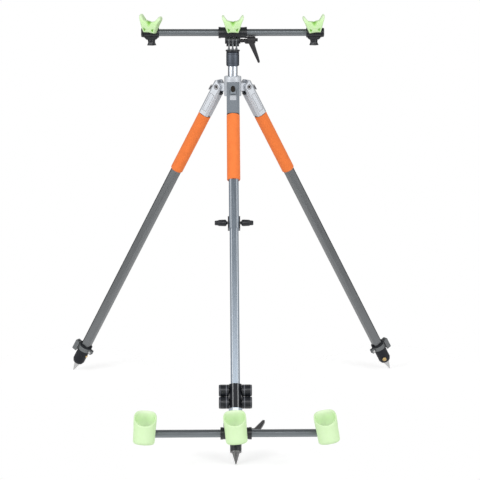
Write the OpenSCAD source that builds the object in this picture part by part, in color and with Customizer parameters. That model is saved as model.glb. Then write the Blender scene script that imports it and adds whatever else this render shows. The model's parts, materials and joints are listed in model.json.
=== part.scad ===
// Three-legged rod pod: a tripod with a bar of V rests on top and a bar of butt cups on the front leg

/* [Stance] */
// Leg length from its pivot to the spike tip
leg_len = 980; // [700:5:1300]
// Angle of each leg from the vertical when open
splay = 30; // [24:0.5:36]
// Distance of the leg pivots from the column axis
pivot_r = 41; // [39:0.5:50]
// Radius of the flat on a spike tip
tip_r = 1; // [0.5:0.1:2]

/* [Leg tubes] */
// Outer leg tube, across its flats
tube_af = 25; // [23:0.5:28]
// Wall of every leg tube
tube_wall = 1.2; // [0.8:0.1:1.6]
// Distance from the pivot to the lower end of the front leg's outer tube
front_tube_end = 385; // [330:5:480]
// Diameter of a foam grip
grip_d = 34; // [32:0.5:42]
// Length of the front foam grip
front_grip_len = 180; // [120:1:260]
// Length of a side foam grip
side_grip_len = 182; // [120:1:400]

/* [Leg brackets] */
// Side wall of a bracket, beside the tube
bracket_wall = 4; // [2.5:0.25:5]
// Front and back wall of a bracket
bracket_skin = 1.75; // [1.5:0.25:3]
// Distance from the pivot to the front bracket's lower end
front_bracket_len = 73; // [50:1:90]
// Distance from the pivot to a side bracket's lower end
side_bracket_len = 86; // [60:1:110]
// Distance from the pivot to the top of the tube socket
socket_top = 26; // [24:0.5:32]
// Radius of the bracket ears round the pivot
ear_r = 11; // [10.5:0.5:13]
// Height of the outer bracket wall above the pivot
ear_top = 15; // [13:0.5:18]

/* [Hub] */
// Diameter of the hub body
hub_d = 45; // [40:1:50]
// Height of the hub above the pivots
hub_top = 30; // [24:1:40]
// Depth of the hub below the pivots
hub_drop = 22; // [18:1:28]
// Thickness of the hub floor under the column
hub_floor = 4; // [3:0.5:8]
// Rounding of the hub's upper edge
hub_round = 4; // [1:0.5:6]
// Width of a hub lug
lug_w = 16; // [12:0.5:18]
// Radius of the hub lug round its pivot
lug_r = 10; // [8:0.5:10]
// Diameter of a pivot pin
pin_d = 8; // [6:0.5:9]
// Diameter of a pivot pin's head
pin_head_d = 13; // [10:0.5:13.5]
// Depth of a pivot pin's head
pin_head_h = 2; // [1.5:0.25:3]

/* [Angle latch] */
// Width of the latch blade
latch_w = 13.4; // [11:0.2:13.8]
// Thickness of the latch plate
latch_t = 1.8; // [1.4:0.1:2.2]
// Gap between the bracket and the latch blade
latch_stand = 5.5; // [4:0.5:8]
// Depth of the latch hinge below the pivot
latch_down = 8; // [6.5:0.25:8.5]
// Height of the latch window above the pivot
window_up = 3; // [0:0.5:5]
// Length of the latch blade
latch_len = 15; // [14:0.5:26]
// Radius of the latch hinge barrel
latch_r = 2.2; // [2:0.1:2.4]

/* [Column] */
// Outer diameter of the column
column_d = 25; // [23:0.5:27]
// Wall of the column
column_wall = 1.5; // [1:0.1:2]
// Length of bare column between hub and sleeve
column_show = 26; // [10:1:60]
// Diameter of the twist sleeve
sleeve_d = 34; // [31:0.5:40]
// Length of the twist sleeve
sleeve_len = 36; // [30:1:50]
// Thickness of the sleeve's upper end
sleeve_cap = 6; // [4:0.5:10]
// Diameter of the sliding stem under the head
stem_d = 18; // [15:0.5:19]
// Length of the bush at the stem's foot
stem_bush = 12; // [8:1:20]
// Diameter of the flange under the prongs
flange_d = 37; // [36:0.5:44]
// Thickness of that flange
flange_t = 6; // [4:0.5:9]

/* [Tilt joints] */
// Distance from the tilt axis to the prong base
prong_len = 23.5; // [20:0.5:30]
// Thickness of a prong
prong_t = 4; // [3:0.25:5]
// Spacing of the three prongs
prong_pitch = 9.8; // [9:0.1:11]
// Radius of a prong round the tilt axis
prong_r = 10; // [8:0.25:10.5]
// Radius of a finger round the tilt axis
finger_r = 15; // [11:0.5:18]
// Radius of the finger block's shoulders round the tilt axis
shoulder_r = 8; // [6:0.5:10]
// Depth of the finger block, front to back
finger_d = 22; // [18:1:26]
// Diameter of the tilt stud
stud_d = 6; // [5:0.5:8]
// Height of the bar axis above the tilt axis
bar_rise = 21; // [20.5:0.25:26]
// Length of a tee's barrel
tee_len = 74; // [64:1:100]
// Diameter of a tee's barrel
tee_d = 28; // [26:0.5:32]
// Height of the lip on a tee's barrel ends
tee_lip = 0.7; // [0.3:0.1:1.2]
// Width of the lip on a tee's barrel ends
tee_lip_w = 6; // [3:0.5:9]

/* [Levers] */
// Diameter of a lever's hub
lever_hub_d = 19; // [14:0.5:19]
// Offset of a lever's hub from its stud
lever_cam = 2; // [0:0.25:2.25]
// Length of a lever's hub
lever_hub_len = 22; // [18:0.5:26]
// Length of the bare neck beside the tee
lever_neck = 9; // [6:0.5:14]
// Diameter of that neck
lever_neck_d = 10; // [8:0.5:11]
// Diameter of the button on a lever's end
lever_button_d = 9; // [5:0.5:12]
// Length of the button on a lever's end
lever_button = 6.5; // [3:0.5:10]
// Distance from the tilt axis to the lever tip's centre
lever_drop = 55; // [40:1:70]
// Width of the lever arm at its hub
lever_root_w = 16; // [10:0.5:18]
// Height of the lever's root below the tilt axis
lever_root_h = 10; // [8:0.5:14]
// Width of the lever arm at its tip
lever_tip_w = 7; // [6:0.5:10]
// Thickness of the lever arm
lever_t = 10; // [7:0.5:11]
// Outward shift of the lever tip from the end of the hub
lever_lean = 8; // [0:0.5:16]
// Turn of the lower lever, back and up
butt_lever_turn = 18; // [0:1:45]

/* [Bars] */
// Bar, across its flats
bar_af = 18; // [16:0.25:18.5]
// Wall of a bar
bar_wall = 1.2; // [0.8:0.1:2]
// Length of the upper bar
bar_len = 464; // [400:2:600]
// Length of the lower bar
butt_bar_len = 472; // [400:2:600]
// Thickness of a bar end plug's head
plug_t = 6; // [3:0.5:10]
// Diameter of a bar end plug's head
plug_d = 24; // [22:0.5:26]
// Depth of a plug in the bar
plug_in = 12; // [6:1:20]

/* [Bar clamps] */
// Length of a sliding bar clamp
clamp_len = 40; // [34:1:50]
// Diameter of a bar clamp's barrel
clamp_d = 26; // [24:0.5:30]
// Width of the block that holds the clamp screw
clamp_foot_w = 34; // [26:1:38]
// Depth of that block
clamp_foot_d = 18; // [14:0.5:22]
// Height of that block beyond the barrel
clamp_foot_h = 5; // [3:0.5:8]
// Diameter of the boss that carries a rest or a cup
boss_d = 16; // [14:0.5:18]
// Distance from the bar axis to the boss face
boss_reach = 17.3; // [16.5:0.1:20]
// Diameter of the swivel peg on a boss
peg_d = 8; // [6:0.5:10]
// Length of the swivel peg
peg_len = 8; // [6:0.5:9]
// Height of a rest's swivel axis above the bar axis
rest_up = 9; // [7:0.5:11]
// Width of a clamp knob across its lobes
knob_d = 25; // [20:0.5:28]
// Height of a clamp knob
knob_h = 14.5; // [12:0.5:22]
// Diameter of a clamp knob at its neck
knob_neck_d = 19.5; // [14:0.5:19.5]
// Number of lobes on a clamp knob
knob_lobes = 5; // [3:1:8]
// Diameter of a clamp screw
screw_d = 6; // [5:0.5:8]

/* [Rests] */
// Width of a V rest over its ears
rest_w = 57; // [48:1:70]
// Height of a V rest
rest_h = 46; // [40:1:56]
// Width of a V rest's base
rest_base_w = 31; // [27:0.5:40]
// Depth of a V rest, front to back
rest_d = 33; // [26:1:40]
// Height of the valley above the base
rest_valley = 28; // [25:0.5:32]
// Depth of the crease along the valley
rest_crease = 6; // [2:0.5:8]
// Thickness of an ear at its tip
rest_ear_t = 5; // [4:0.5:8]
// How far the base reaches below the bar axis
rest_drop = 1; // [0:0.25:3]
// Turn of the left rest
rest_roll_left = 7; // [-20:1:20]
// Turn of the right rest
rest_roll_right = -6; // [-20:1:20]

/* [Cups] */
// Outer diameter of a butt cup
cup_d = 52; // [44:1:60]
// Wall of a butt cup
cup_wall = 4; // [2.5:0.25:5]
// Floor of a butt cup
cup_floor = 5; // [3:0.5:8]
// Height of a cup's near side
cup_near = 45; // [34:1:60]
// Height of a cup's far side
cup_far = 75; // [60:1:90]
// How far a cup reaches below the bar axis
cup_drop = 16; // [12:0.5:20]
// Thickness of the pad between cup and boss
cup_pad = 6; // [4:0.5:10]
// Lean of the cups away from the vertical
cup_lean = 10; // [0:1:30]
// Turn of the left cup
cup_roll_left = 4; // [-20:1:20]
// Turn of the centre cup
cup_roll_centre = -5; // [-20:1:20]
// Turn of the right cup
cup_roll_right = -10; // [-20:1:20]

/* [Carriage] */
// Carriage sleeve, across its flats
carriage_af = 32.6; // [29:0.2:36]
// Length of the carriage sleeve
carriage_len = 86; // [70:1:120]
// Carriage collar, across its flats
collar_af = 30.4; // [29:0.2:36]
// Height of the carriage collar
collar_len = 60; // [58:1:80]
// Diameter of a carriage knob
collar_knob_d = 29; // [22:0.5:29]
// Length of a carriage knob
collar_knob_len = 25; // [12:0.5:28]
// Depth of the groove round a carriage knob
collar_groove = 1.2; // [0.5:0.1:2]
// Height of the butt joint above the front foot
butt_up = 21; // [16:0.5:40]
// Thickness of the prong plate on the carriage
butt_plate_t = 4; // [3:0.5:6]
// Height of that plate
butt_plate_h = 24; // [22:1:30]

/* [Front leg lock] */
// Thickness of the lock clip
lock_t = 3; // [2:0.25:4]
// Height of the lock clip
lock_h = 32; // [24:1:40]
// Lock clip's lower edge above the tube end
lock_up = 1.5; // [0.5:0.5:6]
// Diameter of a lock knob's head
lock_knob_d = 16.6; // [12:0.2:20]
// Length of a lock knob's head
lock_head = 11; // [7:0.5:14]
// Length of a lock knob's tail
lock_tail = 19; // [12:0.5:26]
// Diameter of a lock knob's tail end
lock_tail_d = 10.4; // [8:0.2:11.6]

/* [Feet] */
// Length of the front foot cap
cap_len = 16.5; // [14:0.5:24]
// Diameter of the front foot cap
cap_d = 28; // [27:0.5:34]
// Depth of the tube seat in the front foot cap
cap_seat = 10; // [6:0.5:12]
// Length of the front spike with its flange
front_spike_len = 33.5; // [26:0.5:50]
// Thickness of the front spike's flange
front_flange_t = 5; // [3:0.5:8]
// Diameter of a spike's cone
cone_d = 18.5; // [14:0.5:20]
// Length of a side spike with its flange
side_spike_len = 32; // [20:0.5:40]
// Diameter of a side spike's flange
side_flange_d = 21; // [20:0.5:24]
// Thickness of a side spike's flange
side_flange_t = 2.5; // [1.5:0.25:4]
// Length of a foot collar
foot_len = 64; // [52:1:80]
// Diameter of a foot collar
foot_d = 34; // [32.5:0.5:40]
// Height of the lip at a foot collar's top
foot_lip = 3; // [2:0.25:3.25]
// Length of the taper at a foot collar's end
foot_taper = 8; // [6:0.5:16]
// Diameter of a foot collar's end
foot_end_d = 28; // [27:0.25:31]
// Length of tube that sits in a foot collar
foot_seat = 26; // [20:1:34]
// Width of the clamp band
band_w = 12.5; // [10:0.5:15]
// Thickness of the clamp band
band_t = 1.5; // [1:0.1:2]
// Distance from the collar's top to the band
band_down = 5; // [4:0.25:8]
// Reach of the clamp band's bolt ears
band_ear = 9; // [7:0.5:12]
// Diameter of the band bolt
band_bolt_d = 4; // [3:0.5:5]
// Length of a foot lever
foot_lever_len = 25; // [18:0.5:32]
// Width of a foot lever
foot_lever_w = 16; // [13:0.5:20]
// Thickness of a foot lever
foot_lever_t = 13.5; // [9.5:0.5:14]
// Distance from the collar's lip to a foot lever's hinge boss
foot_lever_down = 3; // [0.5:0.5:4]

/* [Clearances] */
// Gap on each side of a fixed fit
fit_gap = 0.05; // [0.02:0.01:0.1]
// Gap on each side of a sliding or turning fit
run_gap = 0.1; // [0.05:0.01:0.15]
// Gap between pieces that move past each other
clear_gap = 0.3; // [0.2:0.05:0.5]

/* [Hidden] */
$fn = 64;
cut = 1;
front_turn = 0;
right_turn = 120;
left_turn = 240;
leg_turns = [front_turn, right_turn, left_turn];
oct_turn = 22.5;

pivot_h = leg_len * cos(splay) + tip_r * sin(splay);
inner_af = tube_af - 2 * tube_wall - 2 * run_gap;
inner_bore_af = inner_af - 2 * tube_wall;
inner_top = socket_top + clear_gap;

bracket_w = tube_af + 2 * bracket_wall;
bracket_d = tube_af + 2 * bracket_skin;
bracket_chamfer = bracket_w / 6;
fork_w = lug_w + 2 * clear_gap;
fork_depth = lug_r + 2.5;
fork_front = lug_r + 2 * clear_gap;
bracket_shoulder = fork_depth + 7;
ear_slope = 4;
pin_head_sink = pin_head_h + clear_gap + 0.2;
window_w = latch_w + 2 * clear_gap;
latch_y = (fork_front + bracket_d / 2) / 2;
trunnion_r = 1.2;
trunnion_len = 3;
panel_depth = 0.8;
panel_h = 14;
panel_t = 24;

sleeve_z = hub_top + column_show;
flange_z = sleeve_z + sleeve_len + clear_gap;
head_z = flange_z + flange_t + prong_len;
column_bore_d = column_d - 2 * column_wall;
column_top = sleeve_z + sleeve_len - sleeve_cap - clear_gap;

finger_w = 2 * prong_pitch + prong_t + 2 * clear_gap + 8.5;
shoulder_w = finger_w + 7.3;
slot_t = prong_t + 2 * clear_gap;
slot_top = prong_r + clear_gap;
lever_in = shoulder_w / 2 + clear_gap;
lever_root_x = lever_in + lever_neck;
lever_hub_x = tee_len / 2 + clear_gap;
lever_end = lever_hub_x + lever_hub_len;

clamp_x = bar_len / 2 - clear_gap - clamp_len / 2;
cup_clamp_x = butt_bar_len / 2 - clear_gap - clamp_len / 2;
clamp_foot_z = clamp_d / 2 + clamp_foot_h;
knob_top = clamp_foot_z + clear_gap;
boss_face = boss_reach + clear_gap;

front_foot_t = leg_len - front_spike_len - cap_len;
carriage_t = front_foot_t - clear_gap;
collar_t = carriage_t - carriage_len;
collar_knob_ts = [collar_t - collar_len / 4, collar_t - collar_len * 3 / 4];
butt_t = front_foot_t - butt_up;
butt_n = carriage_af / 2 + butt_plate_t + prong_len;
butt_turn = 90 - cup_lean + splay;
lock_t0 = front_tube_end - lock_up - lock_h;
lock_axis_t = front_tube_end - lock_up - lock_h / 2;
lock_x = tube_af / 2 + lock_t;

foot_bottom = leg_len - side_spike_len;
foot_top = foot_bottom - foot_len;
band_top = foot_top + band_down;
band_r = foot_d / 2 + fit_gap + band_t;
hinge_r = 3.5;
hinge_pin_r = 1.5;
hinge_y = band_r + clear_gap + hinge_r + cut;
hinge_t = foot_top + foot_lip + foot_lever_down + hinge_r;

// Frames

// Leg frame: origin at the pivot, leg along -Z, outward side at -Y
module on_leg(turn) {
    rotate([0, 0, turn])
        translate([0, -pivot_r, pivot_h])
            rotate([-splay, 0, 0])
                children();
}

// Head frame: origin on the upper tilt axis
module on_head() {
    translate([0, 0, pivot_h + head_z])
        children();
}

// Butt frame: origin on the lower tilt axis, with the bar at +Z
module on_butt() {
    on_leg(front_turn)
        translate([0, -butt_n, -butt_t])
            rotate([butt_turn, 0, 0])
                children();
}

// Rest frame: origin on the head bar's axis, front at -Y
module on_head_bar(x) {
    on_head()
        translate([x, 0, bar_rise])
            children();
}

// Cup frame: origin on the butt bar's axis, cup's front at -Y and its mouth at +Z
module on_butt_bar(x) {
    on_butt()
        translate([x, 0, bar_rise])
            rotate([-90, 0, 0])
                children();
}

// Shared shapes

module oct_prism(af, h) {
    rotate([0, 0, oct_turn])
        cylinder(d = af / cos(oct_turn), h = h, $fn = 8);
}

// Octagonal pipe on a leg, between two distances from the pivot
module leg_pipe(af, bore, t0, t1) {
    translate([0, 0, -t1])
        difference() {
            oct_prism(af, t1 - t0);
            translate([0, 0, -cut])
                oct_prism(bore, t1 - t0 + 2 * cut);
        }
}

module along_x(d, x0, x1) {
    translate([x0, 0, 0])
        rotate([0, 90, 0])
            cylinder(d = d, h = x1 - x0);
}

module oct_along_x(af, len) {
    translate([-len / 2, 0, 0])
        rotate([0, 90, 0])
            oct_prism(af, len);
}

module chamfer_rect(w, d, c) {
    polygon([
        for (s = [[1, 1], [-1, 1], [-1, -1], [1, -1]])
            each s[0] * s[1] > 0
                ? [[s[0] * w / 2, s[1] * (d / 2 - c)], [s[0] * (w / 2 - c), s[1] * d / 2]]
                : [[s[0] * (w / 2 - c), s[1] * d / 2], [s[0] * w / 2, s[1] * (d / 2 - c)]]
    ]);
}

// Hub and column

module hub_body() {
    rotate_extrude() {
        translate([0, -hub_drop])
            square([hub_d / 2, hub_drop + hub_top - hub_round]);
        translate([0, -hub_drop])
            square([hub_d / 2 - hub_round, hub_drop + hub_top]);
        translate([hub_d / 2 - hub_round, hub_top - hub_round])
            circle(hub_round);
    }
}

module hub_lug() {
    translate([-lug_w / 2, -pivot_r, -lug_r])
        cube([lug_w, pivot_r, 2 * lug_r]);
    translate([0, -pivot_r, 0])
        along_x(2 * lug_r, -lug_w / 2, lug_w / 2);
}

module hub_casting() {
    color("gainsboro")
        translate([0, 0, pivot_h])
            difference() {
                union() {
                    hub_body();
                    for (turn = leg_turns)
                        rotate([0, 0, turn])
                            hub_lug();
                }
                translate([0, 0, hub_floor - hub_drop])
                    cylinder(d = column_d + 2 * fit_gap, h = hub_drop + hub_top + cut);
                for (turn = leg_turns)
                    rotate([0, 0, turn])
                        translate([0, -pivot_r, 0])
                            along_x(pin_d + 2 * fit_gap, -lug_w / 2 - cut, lug_w / 2 + cut);
            }
}

module leg_pivot_pins() {
    head_x = bracket_w / 2 - pin_head_sink + clear_gap;
    color("silver")
        for (turn = leg_turns)
            on_leg(turn) {
                along_x(pin_d, -head_x - cut, head_x + cut);
                for (side = [0, 180])
                    rotate([0, 0, side])
                        along_x(pin_head_d, head_x, head_x + pin_head_h);
            }
}

module column_tube() {
    color("lightgray")
        translate([0, 0, pivot_h + hub_floor - hub_drop])
            difference() {
                cylinder(d = column_d, h = column_top + hub_drop - hub_floor);
                translate([0, 0, -cut])
                    cylinder(d = column_bore_d, h = column_top + hub_drop + 2 * cut);
            }
}

module column_sleeve() {
    color("dimgray")
        translate([0, 0, pivot_h + sleeve_z])
            difference() {
                cylinder(d = sleeve_d, h = sleeve_len);
                translate([0, 0, -cut])
                    cylinder(d = column_d + 2 * run_gap, h = sleeve_len - sleeve_cap + cut);
                cylinder(d = stem_d + 2 * run_gap, h = sleeve_len + cut);
            }
}

// Three prongs with their round ends on the tilt axis and their roots at -Z
module prongs() {
    for (i = [-1, 0, 1])
        translate([i * prong_pitch, 0, 0]) {
            along_x(2 * prong_r, -prong_t / 2, prong_t / 2);
            translate([-prong_t / 2, -prong_r, -prong_len])
                cube([prong_t, 2 * prong_r, prong_len]);
        }
}

module prong_bore() {
    along_x(stud_d + 2 * run_gap, -shoulder_w, shoulder_w);
}

module column_head() {
    stem_len = flange_z + hub_drop - hub_floor - clear_gap;
    color("gray")
        on_head()
            difference() {
                union() {
                    prongs();
                    translate([0, 0, -prong_len - flange_t])
                        cylinder(d = flange_d, h = flange_t);
                    translate([0, 0, -prong_len - flange_t - stem_len]) {
                        cylinder(d = stem_d, h = stem_len + cut);
                        cylinder(d = column_bore_d - 2 * run_gap, h = stem_bush);
                    }
                }
                prong_bore();
            }
}

// Tee clamps, levers and bars

module tee_solid() {
    translate([0, 0, bar_rise]) {
        along_x(tee_d, -tee_len / 2, tee_len / 2);
        for (side = [0, 180])
            rotate([0, 0, side])
                along_x(tee_d + 2 * tee_lip, tee_len / 2 - tee_lip_w, tee_len / 2);
    }
    translate([-shoulder_w / 2, -finger_d / 2, 0])
        cube([shoulder_w, finger_d, bar_rise]);
    along_x(2 * shoulder_r, -shoulder_w / 2, shoulder_w / 2);
    along_x(2 * finger_r, -finger_w / 2, finger_w / 2);
}

module tee_cuts() {
    for (i = [-1, 0, 1])
        translate([i * prong_pitch - slot_t / 2, -finger_d, -finger_r - cut])
            cube([slot_t, 2 * finger_d, slot_top + finger_r + cut]);
    prong_bore();
    translate([0, 0, bar_rise])
        oct_along_x(bar_af + 2 * fit_gap, tee_len + 2 * cut);
}

// Boss with the peg that a rest or a cup swivels on, in the frame of its bar
module swivel_boss(up) {
    translate([0, 0, up])
        rotate([90, 0, 0]) {
            cylinder(d = boss_d, h = boss_reach);
            cylinder(d = peg_d, h = boss_reach + peg_len);
        }
}

module swivel_bore(up) {
    translate([0, 0, up])
        rotate([90, 0, 0])
            cylinder(d = peg_d + 2 * run_gap, h = boss_reach + peg_len + clear_gap);
}

module head_clamp() {
    color("#2a2c31")
        on_head()
            difference() {
                union() {
                    tee_solid();
                    translate([0, 0, bar_rise])
                        swivel_boss(rest_up);
                }
                tee_cuts();
            }
}

module butt_clamp() {
    color("#2a2c31")
        on_butt()
            difference() {
                union() {
                    tee_solid();
                    translate([0, 0, bar_rise])
                        rotate([-90, 0, 0])
                            swivel_boss(0);
                }
                tee_cuts();
            }
}

module bar_pipe(len) {
    difference() {
        oct_along_x(bar_af, len);
        oct_along_x(bar_af - 2 * bar_wall, len + 2 * cut);
    }
}

module bar_plugs(len) {
    bar_end = len / 2;
    for (side = [0, 180])
        rotate([0, 0, side]) {
            along_x(plug_d, bar_end + fit_gap, bar_end + plug_t);
            translate([bar_end - plug_in / 2, 0, 0])
                oct_along_x(bar_af - 2 * bar_wall - 2 * fit_gap, plug_in + cut);
        }
}

module head_bar() {
    color("slategray")
        on_head_bar(0)
            bar_pipe(bar_len);
}

module head_bar_plugs() {
    color("#2a2c31")
        on_head_bar(0)
            bar_plugs(bar_len);
}

module butt_bar() {
    on_butt_bar(0) {
        color("slategray")
            bar_pipe(butt_bar_len);
        color("#2a2c31")
            bar_plugs(butt_bar_len);
    }
}

module lever() {
    tip_x = lever_end + lever_lean;
    along_x(stud_d, -shoulder_w / 2, lever_hub_x);
    along_x(lever_neck_d, lever_in, lever_hub_x + cut);
    translate([0, 0, lever_cam]) {
        along_x(lever_hub_d, lever_hub_x, lever_end);
        along_x(lever_button_d, lever_end, lever_end + lever_button);
    }
    rotate([90, 0, 0]) {
        linear_extrude(lever_t, center = true)
            polygon([
                [lever_root_x, 0],
                [lever_end, 0],
                [lever_end, -lever_root_h],
                [tip_x + lever_tip_w / 2, -lever_drop],
                [tip_x - lever_tip_w / 2, -lever_drop],
                [lever_end - lever_root_w, -lever_root_h],
                [lever_root_x, -lever_root_h]
            ]);
        translate([tip_x, -lever_drop, 0])
            cylinder(d = lever_tip_w, h = lever_t, center = true);
    }
}

module head_lever() {
    color("#303237")
        on_head()
            lever();
}

module butt_lever() {
    color("#303237")
        on_butt()
            rotate([butt_lever_turn, 0, 0])
                lever();
}

// Sliding bar clamps and their knobs

module bar_clamp(boss_up) {
    difference() {
        union() {
            along_x(clamp_d, -clamp_len / 2, clamp_len / 2);
            translate([-clamp_foot_w / 2, -clamp_foot_d / 2, -clamp_foot_z])
                cube([clamp_foot_w, clamp_foot_d, clamp_foot_z]);
            swivel_boss(boss_up);
        }
        oct_along_x(bar_af + 2 * run_gap, clamp_len + 2 * cut);
        translate([0, 0, -clamp_foot_z - cut])
            cylinder(d = screw_d + 2 * run_gap, h = clamp_foot_z + cut);
    }
}

module clamp_knob() {
    flute_r = knob_d / 4;
    translate([0, 0, -knob_top])
        difference() {
            union() {
                rotate_extrude()
                    polygon([
                        [0, 0],
                        [knob_neck_d / 2, 0],
                        [knob_neck_d / 2 - 1, -knob_h / 3],
                        [knob_d / 2 - 1, -knob_h * 3 / 4],
                        [knob_d / 2, -knob_h],
                        [knob_d / 3, -knob_h],
                        [0, -knob_h * 3 / 4]
                    ]);
                cylinder(d = screw_d, h = knob_top - bar_af / 2 - clear_gap);
            }
            for (i = [0 : knob_lobes - 1])
                rotate([0, 0, (i + 0.5) * 360 / knob_lobes])
                    translate([knob_d / 2 + flute_r * 0.6, 0, -knob_h - cut])
                        cylinder(r = flute_r, h = knob_h + 2 * cut);
        }
}

module rest_clamp_left() {
    color("#2a2c31")
        on_head_bar(-clamp_x)
            bar_clamp(rest_up);
}

module rest_clamp_right() {
    color("#2a2c31")
        on_head_bar(clamp_x)
            bar_clamp(rest_up);
}

module rest_knob_left() {
    color("#26282c")
        on_head_bar(-clamp_x)
            clamp_knob();
}

module rest_knob_right() {
    color("#26282c")
        on_head_bar(clamp_x)
            clamp_knob();
}

module cup_clamp_left() {
    color("#2a2c31")
        on_butt_bar(-cup_clamp_x)
            rotate([0, 180, 0])
                bar_clamp(0);
}

module cup_clamp_right() {
    color("#2a2c31")
        on_butt_bar(cup_clamp_x)
            rotate([0, 180, 0])
                bar_clamp(0);
}

module cup_knob_left() {
    color("#26282c")
        on_butt_bar(-cup_clamp_x)
            rotate([0, 180, 0])
                clamp_knob();
}

module cup_knob_right() {
    color("#26282c")
        on_butt_bar(cup_clamp_x)
            rotate([0, 180, 0])
                clamp_knob();
}

// Rests and cups

// Half of the rest's front outline, x outward and y up from the base
function rest_half() = [
    [0, 0],
    [rest_base_w / 2, 0],
    [rest_base_w / 2 + 3.5, rest_h * 0.24],
    [rest_w / 2 - 5.5, rest_h * 0.55],
    [rest_w / 2 - 0.5, rest_h * 0.8],
    [rest_w / 2, rest_h - rest_ear_t / 2],
    [rest_w / 2 - rest_ear_t, rest_h - rest_ear_t / 2],
    [rest_w / 2 - 9, rest_h * 0.84],
    [rest_w / 2 - 16, rest_valley + 3],
    [0, rest_valley]
];

module rest_outline() {
    for (side = [0, 1])
        mirror([side, 0]) {
            polygon(rest_half());
            translate([rest_w / 2 - rest_ear_t / 2, rest_h - rest_ear_t / 2])
                circle(d = rest_ear_t);
        }
}

// Side outline, x toward the bar and y up from the base
module rest_side() {
    polygon([
        [0, 0],
        [-rest_d * 0.7, 0],
        [-rest_d * 0.92, rest_h * 0.28],
        [-rest_d, rest_h * 0.58],
        [-rest_d * 0.86, rest_h * 0.88],
        [-rest_d * 0.62, rest_h],
        [-rest_d * 0.34, rest_h],
        [-rest_d * 0.1, rest_h * 0.85],
        [0, rest_h * 0.6]
    ]);
}

module rest() {
    crease_lean = 10;
    pocket_w = rest_base_w / 4;
    difference() {
        translate([0, -boss_face, -rest_drop])
            difference() {
                intersection() {
                    rotate([90, 0, 0])
                        linear_extrude(rest_d)
                            rest_outline();
                    translate([-rest_w, 0, 0])
                        rotate([90, 0, 90])
                            linear_extrude(2 * rest_w)
                                rest_side();
                }
                translate([0, 0, rest_valley + 1.5])
                    rotate([90 + crease_lean, 0, 0])
                        linear_extrude(2 * rest_d)
                            polygon([[-rest_crease * 1.4, 0], [0, -rest_crease], [rest_crease * 1.4, 0], [0, rest_crease]]);
                for (side = [0, 1])
                    mirror([side, 0, 0])
                        translate([rest_base_w * 0.27, -rest_d * 0.72, rest_h * 0.1])
                            rotate([90, 0, 0])
                                linear_extrude(rest_d)
                                    polygon([[0, 0], [pocket_w * 0.7, 0], [pocket_w, pocket_w * 0.9]]);
            }
        swivel_bore(rest_up);
    }
}

module turned(angle, up) {
    translate([0, 0, up])
        rotate([0, angle, 0])
            translate([0, 0, -up])
                children();
}

module rest_left() {
    color("#cdf2b4")
        on_head_bar(-clamp_x)
            turned(rest_roll_left, rest_up)
                rest();
}

module rest_centre() {
    color("#cdf2b4")
        on_head_bar(0)
            rest();
}

module rest_right() {
    color("#cdf2b4")
        on_head_bar(clamp_x)
            turned(rest_roll_right, rest_up)
                rest();
}

// Butt cup: a round cup with a slanted mouth, lowest on its near side
module cup() {
    axis_y = -boss_face - cup_pad - cup_d / 2;
    slant = atan((cup_far - cup_near) / cup_d);
    difference() {
        union() {
            translate([0, axis_y, -cup_drop])
                cylinder(d = cup_d, h = cup_far);
            translate([0, -boss_face, 0])
                rotate([90, 0, 0])
                    cylinder(d = boss_d, h = cup_pad + cup_d / 2);
        }
        translate([0, axis_y, cup_floor - cup_drop])
            cylinder(d = cup_d - 2 * cup_wall, h = cup_far);
        translate([-cup_d, axis_y - cup_d / 2, cup_near - cup_drop])
            rotate([slant, 0, 0])
                translate([0, -cup_d, 0])
                    cube([2 * cup_d, 3 * cup_d, cup_far]);
        swivel_bore(0);
    }
}

module cup_left() {
    color("#cdf2b4")
        on_butt_bar(-cup_clamp_x)
            turned(cup_roll_left, 0)
                cup();
}

module cup_centre() {
    color("#cdf2b4")
        on_butt_bar(0)
            turned(cup_roll_centre, 0)
                cup();
}

module cup_right() {
    color("#cdf2b4")
        on_butt_bar(cup_clamp_x)
            turned(cup_roll_right, 0)
                cup();
}

// Leg pieces, in the leg frame

// Side outline of a bracket, x inward and y up the leg
module bracket_side(len) {
    half = bracket_d / 2;
    polygon([
        [-half, -len],
        [-half, ear_top - ear_slope],
        [-half + ear_slope, ear_top],
        [-half + 2 * ear_slope, ear_top],
        [0, ear_r],
        [ear_r, 0],
        [half, -bracket_shoulder],
        [half, -len]
    ]);
}

module bracket(len) {
    color("gainsboro")
        difference() {
            intersection() {
                union() {
                    rotate([90, 0, 90])
                        linear_extrude(bracket_w, center = true)
                            bracket_side(len);
                    along_x(2 * ear_r, -bracket_w / 2, bracket_w / 2);
                }
                translate([0, 0, -len])
                    linear_extrude(len + ear_top + cut)
                        chamfer_rect(bracket_w, bracket_d, bracket_chamfer);
            }
            translate([-fork_w / 2, -fork_front, -fork_depth])
                cube([fork_w, fork_front + bracket_d, fork_depth + ear_top + cut]);
            translate([0, 0, -len - cut])
                oct_prism(tube_af + 2 * fit_gap, len + cut - socket_top);
            along_x(pin_d + 2 * run_gap, -bracket_w, bracket_w);
            for (side = [0, 180])
                rotate([0, 0, side])
                    along_x(pin_head_d + 2 * clear_gap, bracket_w / 2 - pin_head_sink, bracket_w);
            translate([-window_w / 2, -bracket_d, -fork_depth])
                cube([window_w, bracket_d, fork_depth + window_up]);
            translate([0, -latch_y, -latch_down])
                along_x(2 * (trunnion_r + run_gap), -window_w / 2 - trunnion_len, window_w / 2 + trunnion_len);
            translate([-window_w / 2, -bracket_d, -panel_t - panel_h])
                cube([window_w, bracket_d / 2 + panel_depth, panel_h]);
        }
}

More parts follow.
